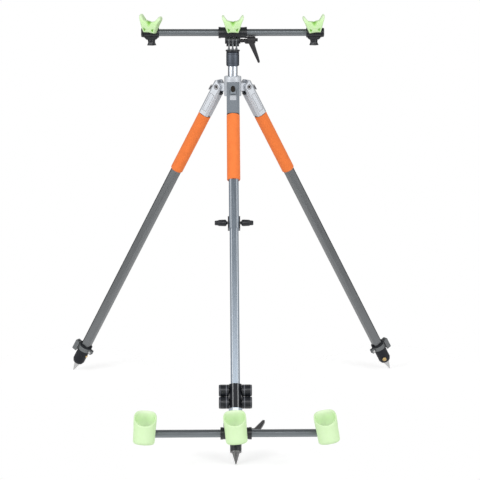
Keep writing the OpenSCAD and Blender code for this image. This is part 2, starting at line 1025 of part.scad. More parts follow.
module latch() {
    blade_y = bracket_d / 2 + latch_stand;
    color("#3a3b3d")
        translate([0, -latch_y, -latch_down]) {
            along_x(2 * latch_r, -latch_w / 2, latch_w / 2);
            along_x(2 * trunnion_r, -latch_w / 2 - trunnion_len, latch_w / 2 + trunnion_len);
            translate([-latch_w / 2, latch_y - blade_y - latch_t, -latch_t / 2])
                cube([latch_w, blade_y + latch_t - latch_y, latch_t]);
            translate([-latch_w / 2, latch_y - blade_y - latch_t, latch_t / 2 - latch_len])
                cube([latch_w, latch_t, latch_len]);
        }
}

module grip(t0, len) {
    color("#ff8742")
        translate([0, 0, -t0 - len])
            difference() {
                cylinder(d = grip_d, h = len);
                translate([0, 0, -cut])
                    oct_prism(tube_af + 2 * fit_gap, len + 2 * cut);
            }
}

module spike(flange_d, flange_t, len, plug_len, plug_d) {
    color("silver")
        translate([0, 0, -leg_len]) {
            cylinder(r1 = tip_r, d2 = cone_d, h = len - flange_t);
            translate([0, 0, len - flange_t])
                cylinder(d = flange_d, h = flange_t);
            translate([0, 0, len - cut])
                cylinder(d = plug_d, h = plug_len + cut);
        }
}

// Front leg

module front_bracket() {
    on_leg(front_turn)
        bracket(front_bracket_len);
}

module front_latch() {
    on_leg(front_turn)
        latch();
}

module front_upper_tube() {
    color("slategray")
        on_leg(front_turn)
            difference() {
                leg_pipe(tube_af, tube_af - 2 * tube_wall, socket_top, front_tube_end);
                translate([0, 0, -lock_axis_t])
                    along_x(screw_d + 2 * run_gap, -tube_af, tube_af);
            }
}

module front_grip() {
    on_leg(front_turn)
        grip(front_bracket_len, front_grip_len);
}

module front_lock_clip() {
    color("#2a2c31")
        on_leg(front_turn)
            difference() {
                translate([-lock_x, -tube_af / 4, -lock_t0 - lock_h])
                    cube([2 * lock_x, tube_af * 3 / 4 + lock_t, lock_h]);
                translate([0, 0, -lock_t0 - lock_h - cut])
                    oct_prism(tube_af + 2 * fit_gap, lock_h + 2 * cut);
                translate([0, 0, -lock_axis_t])
                    along_x(screw_d + 2 * run_gap, -2 * lock_x, 2 * lock_x);
            }
}

// Lock knob on the +X side: screw, round head and tapered tail
module lock_knob() {
    head_x = lock_x + clear_gap;
    color("#26282c")
        translate([0, 0, -lock_axis_t]) {
            along_x(screw_d, inner_af / 2 + run_gap, head_x + cut);
            rotate([0, 90, 0])
                rotate_extrude()
                    polygon([
                        [0, head_x],
                        [screw_d / 2 + 1, head_x],
                        [screw_d / 2 + 1, head_x + 2],
                        [lock_knob_d / 2 - 1, head_x + 5],
                        [lock_knob_d / 2, head_x + 8],
                        [lock_knob_d / 2 - 0.5, head_x + 2 + lock_head],
                        [lock_tail_d / 2 + 1.5, head_x + 3 + lock_head],
                        [lock_tail_d / 2, head_x + 3 + lock_head + lock_tail],
                        [0, head_x + 3 + lock_head + lock_tail]
                    ]);
        }
}

module front_lock_knob_left() {
    on_leg(front_turn)
        rotate([0, 0, 180])
            lock_knob();
}

module front_lock_knob_right() {
    on_leg(front_turn)
        lock_knob();
}

module front_lower_tube() {
    color("slategray")
        on_leg(front_turn)
            leg_pipe(inner_af, inner_bore_af, inner_top, front_foot_t + cap_seat);
}

module front_foot_cap() {
    color("#26282c")
        on_leg(front_turn)
            translate([0, 0, -front_foot_t - cap_len])
                difference() {
                    cylinder(d = cap_d, h = cap_len);
                    translate([0, 0, cap_len - cap_seat])
                        oct_prism(inner_af + 2 * fit_gap, cap_seat + cut);
                    translate([0, 0, -cut])
                        oct_prism(inner_bore_af, cap_len + 2 * cut);
                }
}

module front_spike() {
    on_leg(front_turn)
        spike(cap_d, front_flange_t, front_spike_len, cap_len + cap_seat, inner_bore_af - 2 * fit_gap);
}

// Side legs

module side_tube(turn) {
    color("slategray")
        on_leg(turn)
            leg_pipe(tube_af, tube_af - 2 * tube_wall, socket_top, foot_top + foot_seat);
}

module side_inner_tube(turn) {
    color("slategray")
        on_leg(turn)
            leg_pipe(inner_af, inner_bore_af, inner_top, foot_bottom);
}

module side_spike(turn) {
    on_leg(turn)
        spike(side_flange_d, side_flange_t, side_spike_len, foot_seat, inner_bore_af - 2 * fit_gap);
}

module foot_collar(turn) {
    color("#26282c")
        on_leg(turn)
            translate([0, 0, -foot_bottom])
                difference() {
                    union() {
                        cylinder(d1 = foot_end_d, d2 = foot_d, h = foot_taper);
                        translate([0, 0, foot_taper])
                            cylinder(d = foot_d, h = foot_len - foot_taper);
                        translate([0, 0, foot_len - foot_lip])
                            cylinder(d = foot_d + 2 * band_t, h = foot_lip);
                    }
                    translate([0, 0, -cut])
                        oct_prism(inner_af + 2 * run_gap, foot_len + 2 * cut);
                    translate([0, 0, foot_len - foot_seat])
                        oct_prism(tube_af + 2 * fit_gap, foot_seat + cut);
                }
}

module foot_band(turn) {
    ear_t = 3;
    ear_x = 2;
    bolt_y = band_r + band_ear / 2;
    bolt_half = ear_x + ear_t;
    color("gray")
        on_leg(turn)
            translate([0, 0, -band_top - band_w]) {
                difference() {
                    union() {
                        cylinder(r = band_r, h = band_w);
                        for (side = [0, 1])
                            mirror([side, 0, 0])
                                translate([ear_x, 0, 0])
                                    cube([ear_t, band_r + band_ear, band_w]);
                        translate([-hinge_r, -hinge_y, band_top + band_w - hinge_t - hinge_r])
                            cube([2 * hinge_r, hinge_y, 2 * hinge_r]);
                        translate([0, -hinge_y, band_top + band_w - hinge_t])
                            along_x(2 * hinge_r, -hinge_r, hinge_r);
                    }
                    translate([0, 0, -cut])
                        cylinder(d = foot_d + 2 * fit_gap, h = band_w + hinge_r + 2 * cut);
                    translate([0, -hinge_y, band_top + band_w - hinge_t])
                        along_x(2 * (hinge_pin_r + run_gap), -2 * hinge_r, 2 * hinge_r);
                    translate([0, bolt_y, band_w / 2])
                        along_x(band_bolt_d + 2 * fit_gap, -2 * bolt_half, 2 * bolt_half);
                }
                translate([0, bolt_y, band_w / 2]) {
                    along_x(band_bolt_d, -bolt_half - cut, bolt_half + cut);
                    for (side = [0, 180])
                        rotate([0, 0, side])
                            along_x(band_bolt_d + 3, bolt_half + fit_gap, bolt_half + 3);
                }
            }
}

module foot_lever(turn) {
    slot_w = 2 * hinge_r + 2 * clear_gap;
    head_r = hinge_r + cut;
    color("dimgray")
        on_leg(turn)
            translate([0, -hinge_y, -hinge_t]) {
                difference() {
                    union() {
                        along_x(2 * head_r, -foot_lever_w / 2, foot_lever_w / 2);
                        translate([-foot_lever_w / 2, head_r - foot_lever_t, -foot_lever_len])
                            cube([foot_lever_w, foot_lever_t, foot_lever_len]);
                        translate([-foot_lever_w / 2, head_r - foot_lever_t, -cut])
                            cube([foot_lever_w, foot_lever_t - head_r, head_r + cut]);
                    }
                    translate([-slot_w / 2, -hinge_r - clear_gap, -foot_lever_len])
                        cube([slot_w, foot_lever_t, foot_lever_len + foot_lever_t]);
                }
                along_x(2 * hinge_pin_r, -foot_lever_w / 2 + cut, foot_lever_w / 2 - cut);
            }
}

module left_bracket() {
    on_leg(left_turn)
        bracket(side_bracket_len);
}

module right_bracket() {
    on_leg(right_turn)
        bracket(side_bracket_len);
}

module left_latch() {
    on_leg(left_turn)
        latch();
}

module right_latch() {
    on_leg(right_turn)
        latch();
}

module left_grip() {
    on_leg(left_turn)
        grip(side_bracket_len, side_grip_len);
}

module right_grip() {
    on_leg(right_turn)
        grip(side_bracket_len, side_grip_len);
}

// Butt carriage on the front leg

module carriage_sleeve() {
    color("silver")
        on_leg(front_turn)
            difference() {
                union() {
                    translate([0, 0, -carriage_t])
                        oct_prism(carriage_af, carriage_len);
                    translate([-flange_d / 2, -carriage_af / 2 - butt_plate_t, -butt_t - butt_plate_h / 2])
                        cube([flange_d, butt_plate_t + cut, butt_plate_h]);
                    translate([0, -butt_n, -butt_t])
                        rotate([90, 0, 0])
                            prongs();
                }
                translate([0, 0, -carriage_t - cut])
                    oct_prism(inner_af + 2 * run_gap, carriage_len + 2 * cut);
                translate([0, -butt_n, -butt_t])
                    prong_bore();
            }
}

module carriage_collar() {
    color("#2a2c31")
        on_leg(front_turn)
            difference() {
                translate([0, 0, -collar_t])
                    oct_prism(collar_af, collar_len);
                translate([0, 0, -collar_t - cut])
                    oct_prism(inner_af + 2 * run_gap, collar_len + 2 * cut);
                for (t = collar_knob_ts)
                    translate([0, 0, -t])
                        along_x(screw_d + 2 * run_gap, -collar_af, collar_af);
            }
}

// Carriage knob on the +X side
module carriage_knob(t) {
    x0 = collar_af / 2 + clear_gap;
    crown = 1.5;
    color("#26282c")
        translate([0, 0, -t]) {
            along_x(screw_d, inner_af / 2 + run_gap, x0 + cut);
            rotate([0, 90, 0])
                rotate_extrude()
                    polygon([
                        [0, x0],
                        [collar_knob_d / 2 - crown, x0],
                        [collar_knob_d / 2, x0 + crown],
                        [collar_knob_d / 2, x0 + collar_knob_len / 3],
                        [collar_knob_d / 2 - collar_groove, x0 + collar_knob_len / 3 + 1],
                        [collar_knob_d / 2 - collar_groove, x0 + collar_knob_len * 2 / 3 - 1],
                        [collar_knob_d / 2, x0 + collar_knob_len * 2 / 3],
                        [collar_knob_d / 2 - crown, x0 + collar_knob_len],
                        [0, x0 + collar_knob_len]
                    ]);
        }
}

module carriage_knob_at(t, side) {
    on_leg(front_turn)
        rotate([0, 0, side])
            carriage_knob(t);
}

hub_casting();
leg_pivot_pins();
column_tube();
column_sleeve();
column_head();
head_clamp();
head_bar();
head_bar_plugs();
head_lever();
rest_left();
rest_centre();
rest_right();
rest_clamp_left();
rest_clamp_right();
rest_knob_left();
rest_knob_right();
front_bracket();
front_latch();
front_upper_tube();
front_grip();
front_lock_clip();
front_lock_knob_left();
front_lock_knob_right();
front_lower_tube();
front_foot_cap();
front_spike();
left_bracket();
left_latch();
side_tube(left_turn);  // left_tube
left_grip();
foot_collar(left_turn);  // left_foot_collar
foot_band(left_turn);  // left_foot_band
foot_lever(left_turn);  // left_foot_lever
side_inner_tube(left_turn);  // left_inner_tube
side_spike(left_turn);  // left_spike
right_bracket();
right_latch();
side_tube(right_turn);  // right_tube
right_grip();
foot_collar(right_turn);  // right_foot_collar
foot_band(right_turn);  // right_foot_band
foot_lever(right_turn);  // right_foot_lever
side_inner_tube(right_turn);  // right_inner_tube
side_spike(right_turn);  // right_spike
carriage_sleeve();
carriage_collar();
carriage_knob_at(collar_knob_ts[1], 180);  // carriage_knob_upper_left
carriage_knob_at(collar_knob_ts[1], 0);  // carriage_knob_upper_right
carriage_knob_at(collar_knob_ts[0], 180);  // carriage_knob_lower_left
carriage_knob_at(collar_knob_ts[0], 0);  // carriage_knob_lower_right
butt_clamp();
butt_bar();
butt_lever();
cup_left();
cup_centre();
cup_right();
cup_clamp_left();
cup_clamp_right();
cup_knob_left();
cup_knob_right();
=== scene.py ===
"""Looks of the rod pod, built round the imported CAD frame.

Shapes are drawn in millimetres in the frame of the piece they belong to and placed in metres, +Z up.
"""

import json
import math

import bmesh
import bpy
from mathutils import Matrix, Vector, geometry, noise

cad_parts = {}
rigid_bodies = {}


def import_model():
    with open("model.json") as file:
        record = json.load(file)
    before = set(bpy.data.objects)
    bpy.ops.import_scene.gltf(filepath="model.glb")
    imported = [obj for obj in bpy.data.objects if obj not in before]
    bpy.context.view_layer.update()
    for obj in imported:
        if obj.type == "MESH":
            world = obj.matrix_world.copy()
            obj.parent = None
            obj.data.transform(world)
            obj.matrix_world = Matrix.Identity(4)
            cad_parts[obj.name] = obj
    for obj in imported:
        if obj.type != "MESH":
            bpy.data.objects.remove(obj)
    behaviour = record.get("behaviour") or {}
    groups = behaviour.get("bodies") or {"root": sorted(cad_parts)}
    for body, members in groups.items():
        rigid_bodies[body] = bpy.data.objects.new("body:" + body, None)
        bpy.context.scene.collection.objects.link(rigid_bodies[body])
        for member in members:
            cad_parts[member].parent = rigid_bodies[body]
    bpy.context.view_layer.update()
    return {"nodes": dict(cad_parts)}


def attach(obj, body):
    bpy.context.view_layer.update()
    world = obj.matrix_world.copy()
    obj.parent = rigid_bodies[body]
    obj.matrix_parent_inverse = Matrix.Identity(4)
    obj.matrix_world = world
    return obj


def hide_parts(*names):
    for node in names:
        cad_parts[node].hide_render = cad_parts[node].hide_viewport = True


for old in list(bpy.data.objects):
    bpy.data.objects.remove(old, do_unlink=True)
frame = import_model()

# Sizes of the CAD part, in millimetres and degrees

MM = 0.001
TAU = 2 * math.pi
SPLAY, PIVOT_R, PIVOT_H = 30, 41, 849.205
HEAD_RISE, BAR_RISE = 121.8, 21
BUTT_OUT, BUTT_DOWN, BUTT_TURN, BUTT_LEVER_TURN = 43.8, 909, 110, 18
REST_X, CUP_X, REST_PEG = 211.7, 215.7, 9
TOP_BAR, LOW_BAR, BAR_AF, BAR_BORE = 464, 472, 18, 15.6
TUBE_AF, TUBE_BORE, INNER_AF, INNER_BORE = 25, 22.6, 22.4, 20
BRACKET_LEN = {"front": 73, "left": 86, "right": 86}
GRIP_LEN = {"front": 180, "left": 182, "right": 182}
BRACKET_SIDE = 16.5
SOCKET_TOP, INNER_TOP = 26, 26.3
FRONT_TUBE_END, FRONT_FOOT, LOCK_AXIS = 385, 930, 367.5
CAP_FLOOR, CAP_END = 940, 946.5
FOOT_TOP, FOOT_SEAT, FOOT_END, LEG_END = 884, 910, 948, 980
SIDES = (("left", -1), ("centre", 0), ("right", 1))
KNOB_SIDES = (("left", 180), ("right", 0))

# Frames


def move(x, y, z):
    return Matrix.Translation((x, y, z))


def spin(degrees, axis):
    return Matrix.Rotation(math.radians(degrees), 4, axis)


ALONG_X = spin(90, "Y")
OUT_FRONT = spin(90, "X")
ACROSS = Matrix(((0, 0, 1, 0), (1, 0, 0, 0), (0, 1, 0, 0), (0, 0, 0, 1)))
LEG = {
    leg: spin(turn, "Z") @ move(0, -PIVOT_R, PIVOT_H) @ spin(-SPLAY, "X")
    for leg, turn in (("front", 0), ("right", 120), ("left", 240))
}
FRONT = LEG["front"]
HUB = move(0, 0, PIVOT_H)
HEAD = move(0, 0, PIVOT_H + HEAD_RISE)
BUTT = FRONT @ move(0, -BUTT_OUT, -BUTT_DOWN) @ spin(BUTT_TURN, "X")


def on_head_bar(x):
    return HEAD @ move(x, 0, BAR_RISE)


def on_butt_bar(x):
    return BUTT @ move(x, 0, BAR_RISE) @ spin(-90, "X")


def rolled(angle, up):
    return move(0, 0, up) @ spin(angle, "Y") @ move(0, 0, -up)


# Paints

EVEN, AXIAL, CROSSWISE = (1, 1, 1), (1, 1, 0.02), (0.02, 1, 1)
GRAIN_LOW, GRAIN_HIGH, GRAIN_DETAIL = 0.3, 0.7, 3.0
HARD_RELIEF, SOFT_RELIEF = 0.0001, 0.0003
FOAM_MOTTLE, FOAM_PORES, RUBBER_GRAIN = 60, 900, 120


def put(node, key, value):
    node.inputs[key].default_value = value


def add_node(tree, kind):
    return tree.nodes.new(f"ShaderNode{kind}")


def add_object(name, data):
    ob = bpy.data.objects.new(name, data)
    bpy.context.scene.collection.objects.link(ob)
    return ob


def new_paint(name):
    mat = bpy.data.materials.new(name)
    mat.use_nodes = True
    return mat, mat.node_tree, mat.node_tree.nodes["Principled BSDF"]


def local_coords(tree, stretch):
    """Coordinates of the piece's own frame, stretched along its grain."""
    place = add_node(tree, "Attribute")
    place.attribute_name = "local"
    mapping = add_node(tree, "Mapping")
    put(mapping, "Scale", stretch)
    tree.links.new(place.outputs["Vector"], mapping.inputs["Vector"])
    return mapping.outputs["Vector"]


def noise_of(tree, coords, scale):
    tex = add_node(tree, "TexNoise")
    put(tex, "Scale", scale)
    put(tex, "Detail", GRAIN_DETAIL)
    tree.links.new(coords, tex.inputs["Vector"])
    return tex.outputs["Fac"]


def ramp(tree, factor, stops):
    node = add_node(tree, "ValToRGB")
    bar = node.color_ramp
    while len(bar.elements) < len(stops):
        bar.elements.new(0.5)
    for element, (place, colour) in zip(bar.elements, stops):
        element.position = place
        element.color = (*colour, 1)
    tree.links.new(factor, node.inputs["Fac"])
    return node.outputs["Color"]


def shade(colour, gain):
    return tuple(min(1, c * gain) for c in colour)


def mottled(tree, grain, colour, low, high):
    """A colour that runs from a darker to a lighter shade along the grain."""
    return ramp(tree, grain, [(GRAIN_LOW, shade(colour, low)), (GRAIN_HIGH, shade(colour, high))])


def spread(tree, grain, low, high):
    """A value that runs from low to high along the grain."""
    node = add_node(tree, "MapRange")
    put(node, "From Min", GRAIN_LOW)
    put(node, "From Max", GRAIN_HIGH)
    put(node, "To Min", low)
    put(node, "To Max", high)
    tree.links.new(grain, node.inputs["Value"])
    return node.outputs["Result"]


def relief(tree, shader, height, strength, distance):
    node = add_node(tree, "Bump")
    put(node, "Strength", strength)
    put(node, "Distance", distance)
    tree.links.new(height, node.inputs["Height"])
    tree.links.new(node.outputs["Normal"], shader.inputs["Normal"])


def paint(name, colour, metal, rough, vary, bump, rough_vary=0.06, stretch=EVEN, scale=700, gloss=0.5):
    """A hard surface whose tone, roughness and relief share one fine grain."""
    mat, tree, shader = new_paint(name)
    put(shader, "Metallic", metal)
    put(shader, "Specular IOR Level", gloss)
    grain = noise_of(tree, local_coords(tree, stretch), scale)
    tree.links.new(mottled(tree, grain, colour, 1 - vary, 1 + vary), shader.inputs["Base Color"])
    tree.links.new(spread(tree, grain, rough - rough_vary, rough + rough_vary), shader.inputs["Roughness"])
    relief(tree, shader, grain, bump, HARD_RELIEF)
    mat.diffuse_color = (*colour, 1)
    return mat


def foam_paint(name, colour):
    """Closed-cell foam: dull, slightly mottled, with fine pores."""
    mat, tree, shader = new_paint(name)
    put(shader, "Specular IOR Level", 0.25)
    put(shader, "Sheen Weight", 0.1)
    put(shader, "Roughness", 0.85)
    coords = local_coords(tree, EVEN)
    broad = noise_of(tree, coords, FOAM_MOTTLE)
    tree.links.new(mottled(tree, broad, colour, low=0.95, high=1.04), shader.inputs["Base Color"])
    pores = add_node(tree, "TexVoronoi")
    put(pores, "Scale", FOAM_PORES)
    tree.links.new(coords, pores.inputs["Vector"])
    relief(tree, shader, pores.outputs["Distance"], strength=0.06, distance=SOFT_RELIEF)
    mat.diffuse_color = (*colour, 1)
    return mat


def rubber_paint(name):
    """Pale rubber coloured by a value at each point, from deep green for painted shade in the folds to nearly
    white for painted glow on thin rims and inside cups.
    """
    mat, tree, shader = new_paint(name)
    put(shader, "Roughness", 0.45)
    put(shader, "Specular IOR Level", 0.35)
    tint = add_node(tree, "Attribute")
    tint.attribute_name = "tint"
    # Deep green is painted shade; near white is painted glow of the thin rubber.
    stops = [
        (0.0, (0.17, 0.42, 0.05)),
        (0.25, (0.34, 0.68, 0.15)),
        (0.5, (0.57, 0.86, 0.38)),
        (0.8, (0.70, 0.92, 0.55)),
        (1.0, (0.84, 0.98, 0.72)),
    ]
    tree.links.new(ramp(tree, tint.outputs["Fac"], stops), shader.inputs["Base Color"])
    grain = noise_of(tree, local_coords(tree, EVEN), RUBBER_GRAIN)
    relief(tree, shader, grain, strength=0.05, distance=SOFT_RELIEF)
    mat.diffuse_color = (0.665, 0.905, 0.533, 1)
    return mat


CASTING = paint("bright_casting", (0.63, 0.66, 0.705), 0.35, 0.44, vary=0.02, bump=0.01, scale=900)
GREY_CASTING = paint("front_casting", (0.25, 0.28, 0.315), 0.6, 0.44, vary=0.05, bump=0.03, scale=500)
DARK_STEEL = paint("dark_steel", (0.17, 0.17, 0.17), 1.0, 0.24, vary=0.03, bump=0.01, scale=900)
STEEL = paint("steel", (0.50, 0.50, 0.50), 1.0, 0.28, vary=0.03, bump=0.01, scale=900)
PIN = paint("pin_steel", (0.27, 0.27, 0.28), 0.8, 0.36, vary=0.03, bump=0.01, scale=900)
CHROME = paint(
    "chrome_tube", (0.64, 0.68, 0.74), 1.0, 0.24, vary=0.01, bump=0.01, rough_vary=0.02, stretch=AXIAL
)
SLEEVE = paint("dark_sleeve", (0.085, 0.098, 0.12), 0.7, 0.38, vary=0.04, bump=0.02)
PRONG = paint("grey_head", (0.16, 0.17, 0.18), 0.7, 0.4, vary=0.04, bump=0.02)
TUBE = paint("grey_tube", (0.17, 0.178, 0.184), 0.85, 0.36, vary=0.04, bump=0.02, stretch=AXIAL, scale=900)
FRONT_TUBE = paint(
    "front_tube", (0.225, 0.262, 0.305), 0.85, 0.28, vary=0.04, bump=0.02, stretch=AXIAL, scale=900
)
# Painted highlight: a pale paint for rounded edges where strip lights glint.
PAINTED_HIGHLIGHT = paint("painted_edge_highlight", (0.68, 0.72, 0.77), 0.2, 0.45, vary=0.02, bump=0.01, stretch=AXIAL)
BAR = paint("grey_bar", (0.20, 0.22, 0.235), 0.85, 0.36, vary=0.04, bump=0.02, stretch=CROSSWISE, scale=900)
BRIGHT = paint("bright_sleeve", (0.40, 0.45, 0.50), 0.9, 0.3, vary=0.03, bump=0.02, stretch=AXIAL, scale=900)
PLATE = paint("grey_plate", (0.34, 0.34, 0.35), 0.5, 0.42, vary=0.03, bump=0.02)
# Painted shade: near-black that stands in for the shade in sockets, slots and gaps.
PAINTED_SHADE = paint("painted_recess_shade", (0.022, 0.018, 0.014), 0.0, 0.5, vary=0.1, bump=0.02, gloss=0.2)
CLAMP = paint("grey_clamp", (0.15, 0.16, 0.165), 0.5, 0.42, vary=0.04, bump=0.02)
BLACK = paint("black_plastic", (0.0095, 0.0115, 0.0155), 0.0, 0.34, vary=0.15, bump=0.04)
# Painted highlight: pale lines on the edges of the black carriage collar.
COLLAR_HIGHLIGHT = paint("painted_collar_highlight", (0.55, 0.56, 0.58), 0.0, 0.3, vary=0.05, bump=0.02)
COLLAR = paint("collar_plastic", (0.0105, 0.012, 0.016), 0.0, 0.5, vary=0.1, bump=0.03, gloss=0.22)
# Painted highlight: pale rings in the grooves of the carriage knobs.
GROOVE_HIGHLIGHT = paint("painted_groove_highlight", (0.12, 0.125, 0.145), 0.0, 0.3, vary=0.05, bump=0.02)
LEVER = paint("lever_plastic", (0.022, 0.021, 0.024), 0.0, 0.45, vary=0.1, bump=0.04, gloss=0.4)
BRASS = paint("brass", (0.50, 0.36, 0.16), 1.0, 0.32, vary=0.05, bump=0.02)
FOAM = foam_paint("orange_foam", (0.97, 0.235, 0.055))
RUBBER = rubber_paint("pale_green_rubber")

# Shape helpers

TINY = 1e-6
SOFT_STEPS, CORNER_SHARE, LEAST_BEND = 4, 0.48, 0.02
EDGE_SHARE, WALL_SHARE, BORE_CORNER = 0.45, 0.4, 0.6
UPRIGHT, LEAST_RUN = 0.98, 4
CORNER_FROM, CORNER_TO = math.radians(35), math.radians(60)
FACET_FROM, FACET_TO, FACET_RISE = 0.05, 0.69, 0.2
WELD, FLAT_ANGLE = 0.002, math.radians(0.5)


def soft(points, radius, closed=False):
    """A polyline with its corners rounded. A point may carry its own radius as a third number."""
    out = []
    count = len(points)
    for i, point in enumerate(points):
        here = Vector(point[:2])
        size = point[2] if len(point) > 2 else radius
        if size <= 0 or (not closed and i in (0, count - 1)):
            out.append(tuple(here))
            continue
        a = Vector(points[i - 1][:2]) - here
        b = Vector(points[(i + 1) % count][:2]) - here
        angle = a.angle(b, math.pi)
        if angle > math.pi - LEAST_BEND or angle < LEAST_BEND:
            out.append(tuple(here))
            continue
        run = min(size / math.tan(angle / 2), a.length * CORNER_SHARE, b.length * CORNER_SHARE)
        start, end = here + a.normalized() * run, here + b.normalized() * run
        for k in range(SOFT_STEPS + 1):
            t = k / SOFT_STEPS
            spot = start * (1 - t) ** 2 + here * 2 * t * (1 - t) + end * t * t
            out.append(tuple(spot))
    return out


def half_turn(radius, height, start, steps=12):
    """Points of a half circle, from a start angle in degrees."""
    angles = [math.radians(start + 180 * k / steps) for k in range(steps + 1)]
    return [(radius * math.cos(a), height + radius * math.sin(a)) for a in angles]


def skin(bm, rows, loop=False, paint_no=0):
    """Faces between rows of points that run round. A row of one point is a pole."""
    rings = [[bm.verts.new(p) for p in row] for row in rows]
    pairs = list(zip(rings, rings[1:]))
    if loop:
        pairs.append((rings[-1], rings[0]))
    outlines = []
    for a, b in pairs:
        for k in range(max(len(a), len(b))):
            quad = [a[k % len(a)], a[(k + 1) % len(a)], b[(k + 1) % len(b)], b[k % len(b)]]
            outlines.append(list(dict.fromkeys(quad)))
    if not loop:
        outlines += [rings[0], rings[-1]]
    for outline in outlines:
        if len(outline) > 2:
            bm.faces.new(outline).material_index = paint_no


def lathe(bm, profile, at=Matrix(), n=48, wave=None, loop=False, paint_no=0):
    """Turns a profile of (radius, height) round the Z axis of at."""
    rows = []
    for r, h in profile:
        if r < TINY:
            rows.append([at @ Vector((0, 0, h))])
            continue
        row = []
        for k in range(n):
            angle = TAU * k / n
            reach = wave(angle, r, h) if wave else r
            row.append(at @ Vector((reach * math.cos(angle), reach * math.sin(angle), h)))
        rows.append(row)
    skin(bm, rows, loop, paint_no)


def rod(bm, r, h0, h1, at=Matrix(), edge=0.6, paint_no=0):
    edge = min(edge, r * EDGE_SHARE, abs(h1 - h0) * EDGE_SHARE)
    lathe(bm, soft([(0, h0), (r, h0), (r, h1), (0, h1)], edge), at, paint_no=paint_no)


def pipe(bm, r, bore, h0, h1, at=Matrix(), edge=0.6, n=48):
    edge = min(edge, (r - bore) * WALL_SHARE)
    lathe(bm, soft([(bore, h0), (r, h0), (r, h1), (bore, h1)], edge, closed=True), at, n, loop=True)


def slab(bm, outline, h0, h1, at=Matrix(), paint_no=0):
    """A flat outline made thick along the Z axis of at."""
    rows = [[at @ Vector((x, y, h)) for x, y in outline] for h in (h0, h1)]
    skin(bm, rows, paint_no=paint_no)


def block(bm, x0, x1, y0, y1, z0, z1):
    slab(bm, [(x0, y0), (x1, y0), (x1, y1), (x0, y1)], z0, z1)


def octagon(af, corner, flat=None):
    """Eight-sided outline. The four main flats may be wider than the four between them."""
    a = af / 2
    b = flat / 2 if flat else a * math.tan(math.pi / 8)
    points = [(a, b), (b, a), (-b, a), (-a, b), (-a, -b), (-b, -a), (b, -a), (a, -b)]
    return soft(points, corner, closed=True)


def oct_pipe(bm, af, bore, h0, h1, corner, at=Matrix(), flat=None):
    """Octagonal pipe with eased corners and ends."""
    lip = 0.35
    full, end = octagon(af, corner, flat), octagon(af - 2 * lip, corner, flat)
    hole = octagon(bore, corner * BORE_CORNER, flat * bore / af if flat else None)
    rings = [(end, h0), (full, h0 + lip), (full, h1 - lip), (end, h1), (hole, h1), (hole, h0)]
    skin(bm, [[at @ Vector((x, y, h)) for x, y in ring] for ring, h in rings], loop=True)


def bevel(bm, edges, width, steps, clamp):
    bmesh.ops.bevel(
        bm, geom=edges, offset=width, offset_type="OFFSET", segments=steps, profile=0.5, affect="EDGES",
        clamp_overlap=clamp,
    )


def round_edges(bm, width, steps=2, angle=30):
    limit = math.radians(angle)
    edges = [e for e in bm.edges if len(e.link_faces) == 2 and e.calc_face_angle(0) > limit]
    bevel(bm, edges, width, steps, clamp=True)


def round_corners(bm, width, reach):
    """Rounds the long corners along Z that lie further out than reach."""
    corners = []
    for edge in bm.edges:
        run = edge.verts[1].co - edge.verts[0].co
        middle = (edge.verts[0].co + edge.verts[1].co) / 2
        upright = abs(run.z) > UPRIGHT * run.length and run.length > LEAST_RUN
        if upright and len(edge.link_faces) == 2 and math.hypot(middle.x, middle.y) > reach:
            if CORNER_FROM < edge.calc_face_angle(0) < CORNER_TO:
                corners.append(edge)
    bevel(bm, corners, width, steps=3, clamp=False)


def paint_front_edge_highlights(bm):
    """Gives the rounded edges on both sides of a front facet the second paint, a painted highlight."""
    for face in bm.faces:
        face.normal_update()
        n = face.normal
        if n.y < 0 and FACET_FROM < abs(n.x) < FACET_TO and abs(n.z) < FACET_RISE:
            face.material_index = 1


def paint_where(bm, test):
    """Gives the faces whose middle passes a test the second paint."""
    for face in bm.faces:
        if test(face.calc_center_median()):
            face.material_index = 1


def cad_copy(node, at, width, steps=2, angle=30):
    """A copy of a CAD node in the frame at, with its edges eased where a width is given."""
    bm = bmesh.new()
    bm.from_mesh(frame["nodes"][node].data)
    bm.transform((Matrix.Scale(MM, 4) @ at).inverted())
    bmesh.ops.remove_doubles(bm, verts=bm.verts, dist=WELD)
    bmesh.ops.dissolve_limit(bm, angle_limit=FLAT_ANGLE, verts=bm.verts, edges=bm.edges)
    for face in bm.faces:
        face.material_index = 0
    if width:
        round_edges(bm, width, steps, angle)
    return bm


def carve(bm, cutter):
    """Takes the cutter out of the shape and returns the result."""
    objects = []
    for shape in (bm, cutter):
        mesh = bpy.data.meshes.new("carving")
        bmesh.ops.recalc_face_normals(shape, faces=shape.faces)
        shape.to_mesh(mesh)
        shape.free()
        objects.append(add_object("carving", mesh))
    tool = objects[0].modifiers.new("carve", "BOOLEAN")
    tool.operation, tool.solver, tool.object = "DIFFERENCE", "EXACT", objects[1]
    bpy.context.view_layer.update()
    result = objects[0].evaluated_get(bpy.context.evaluated_depsgraph_get())
    out = bmesh.new()
    out.from_mesh(result.data)
    for ob in objects:
        mesh = ob.data
        bpy.data.objects.remove(ob, do_unlink=True)
        bpy.data.meshes.remove(mesh)
    return out


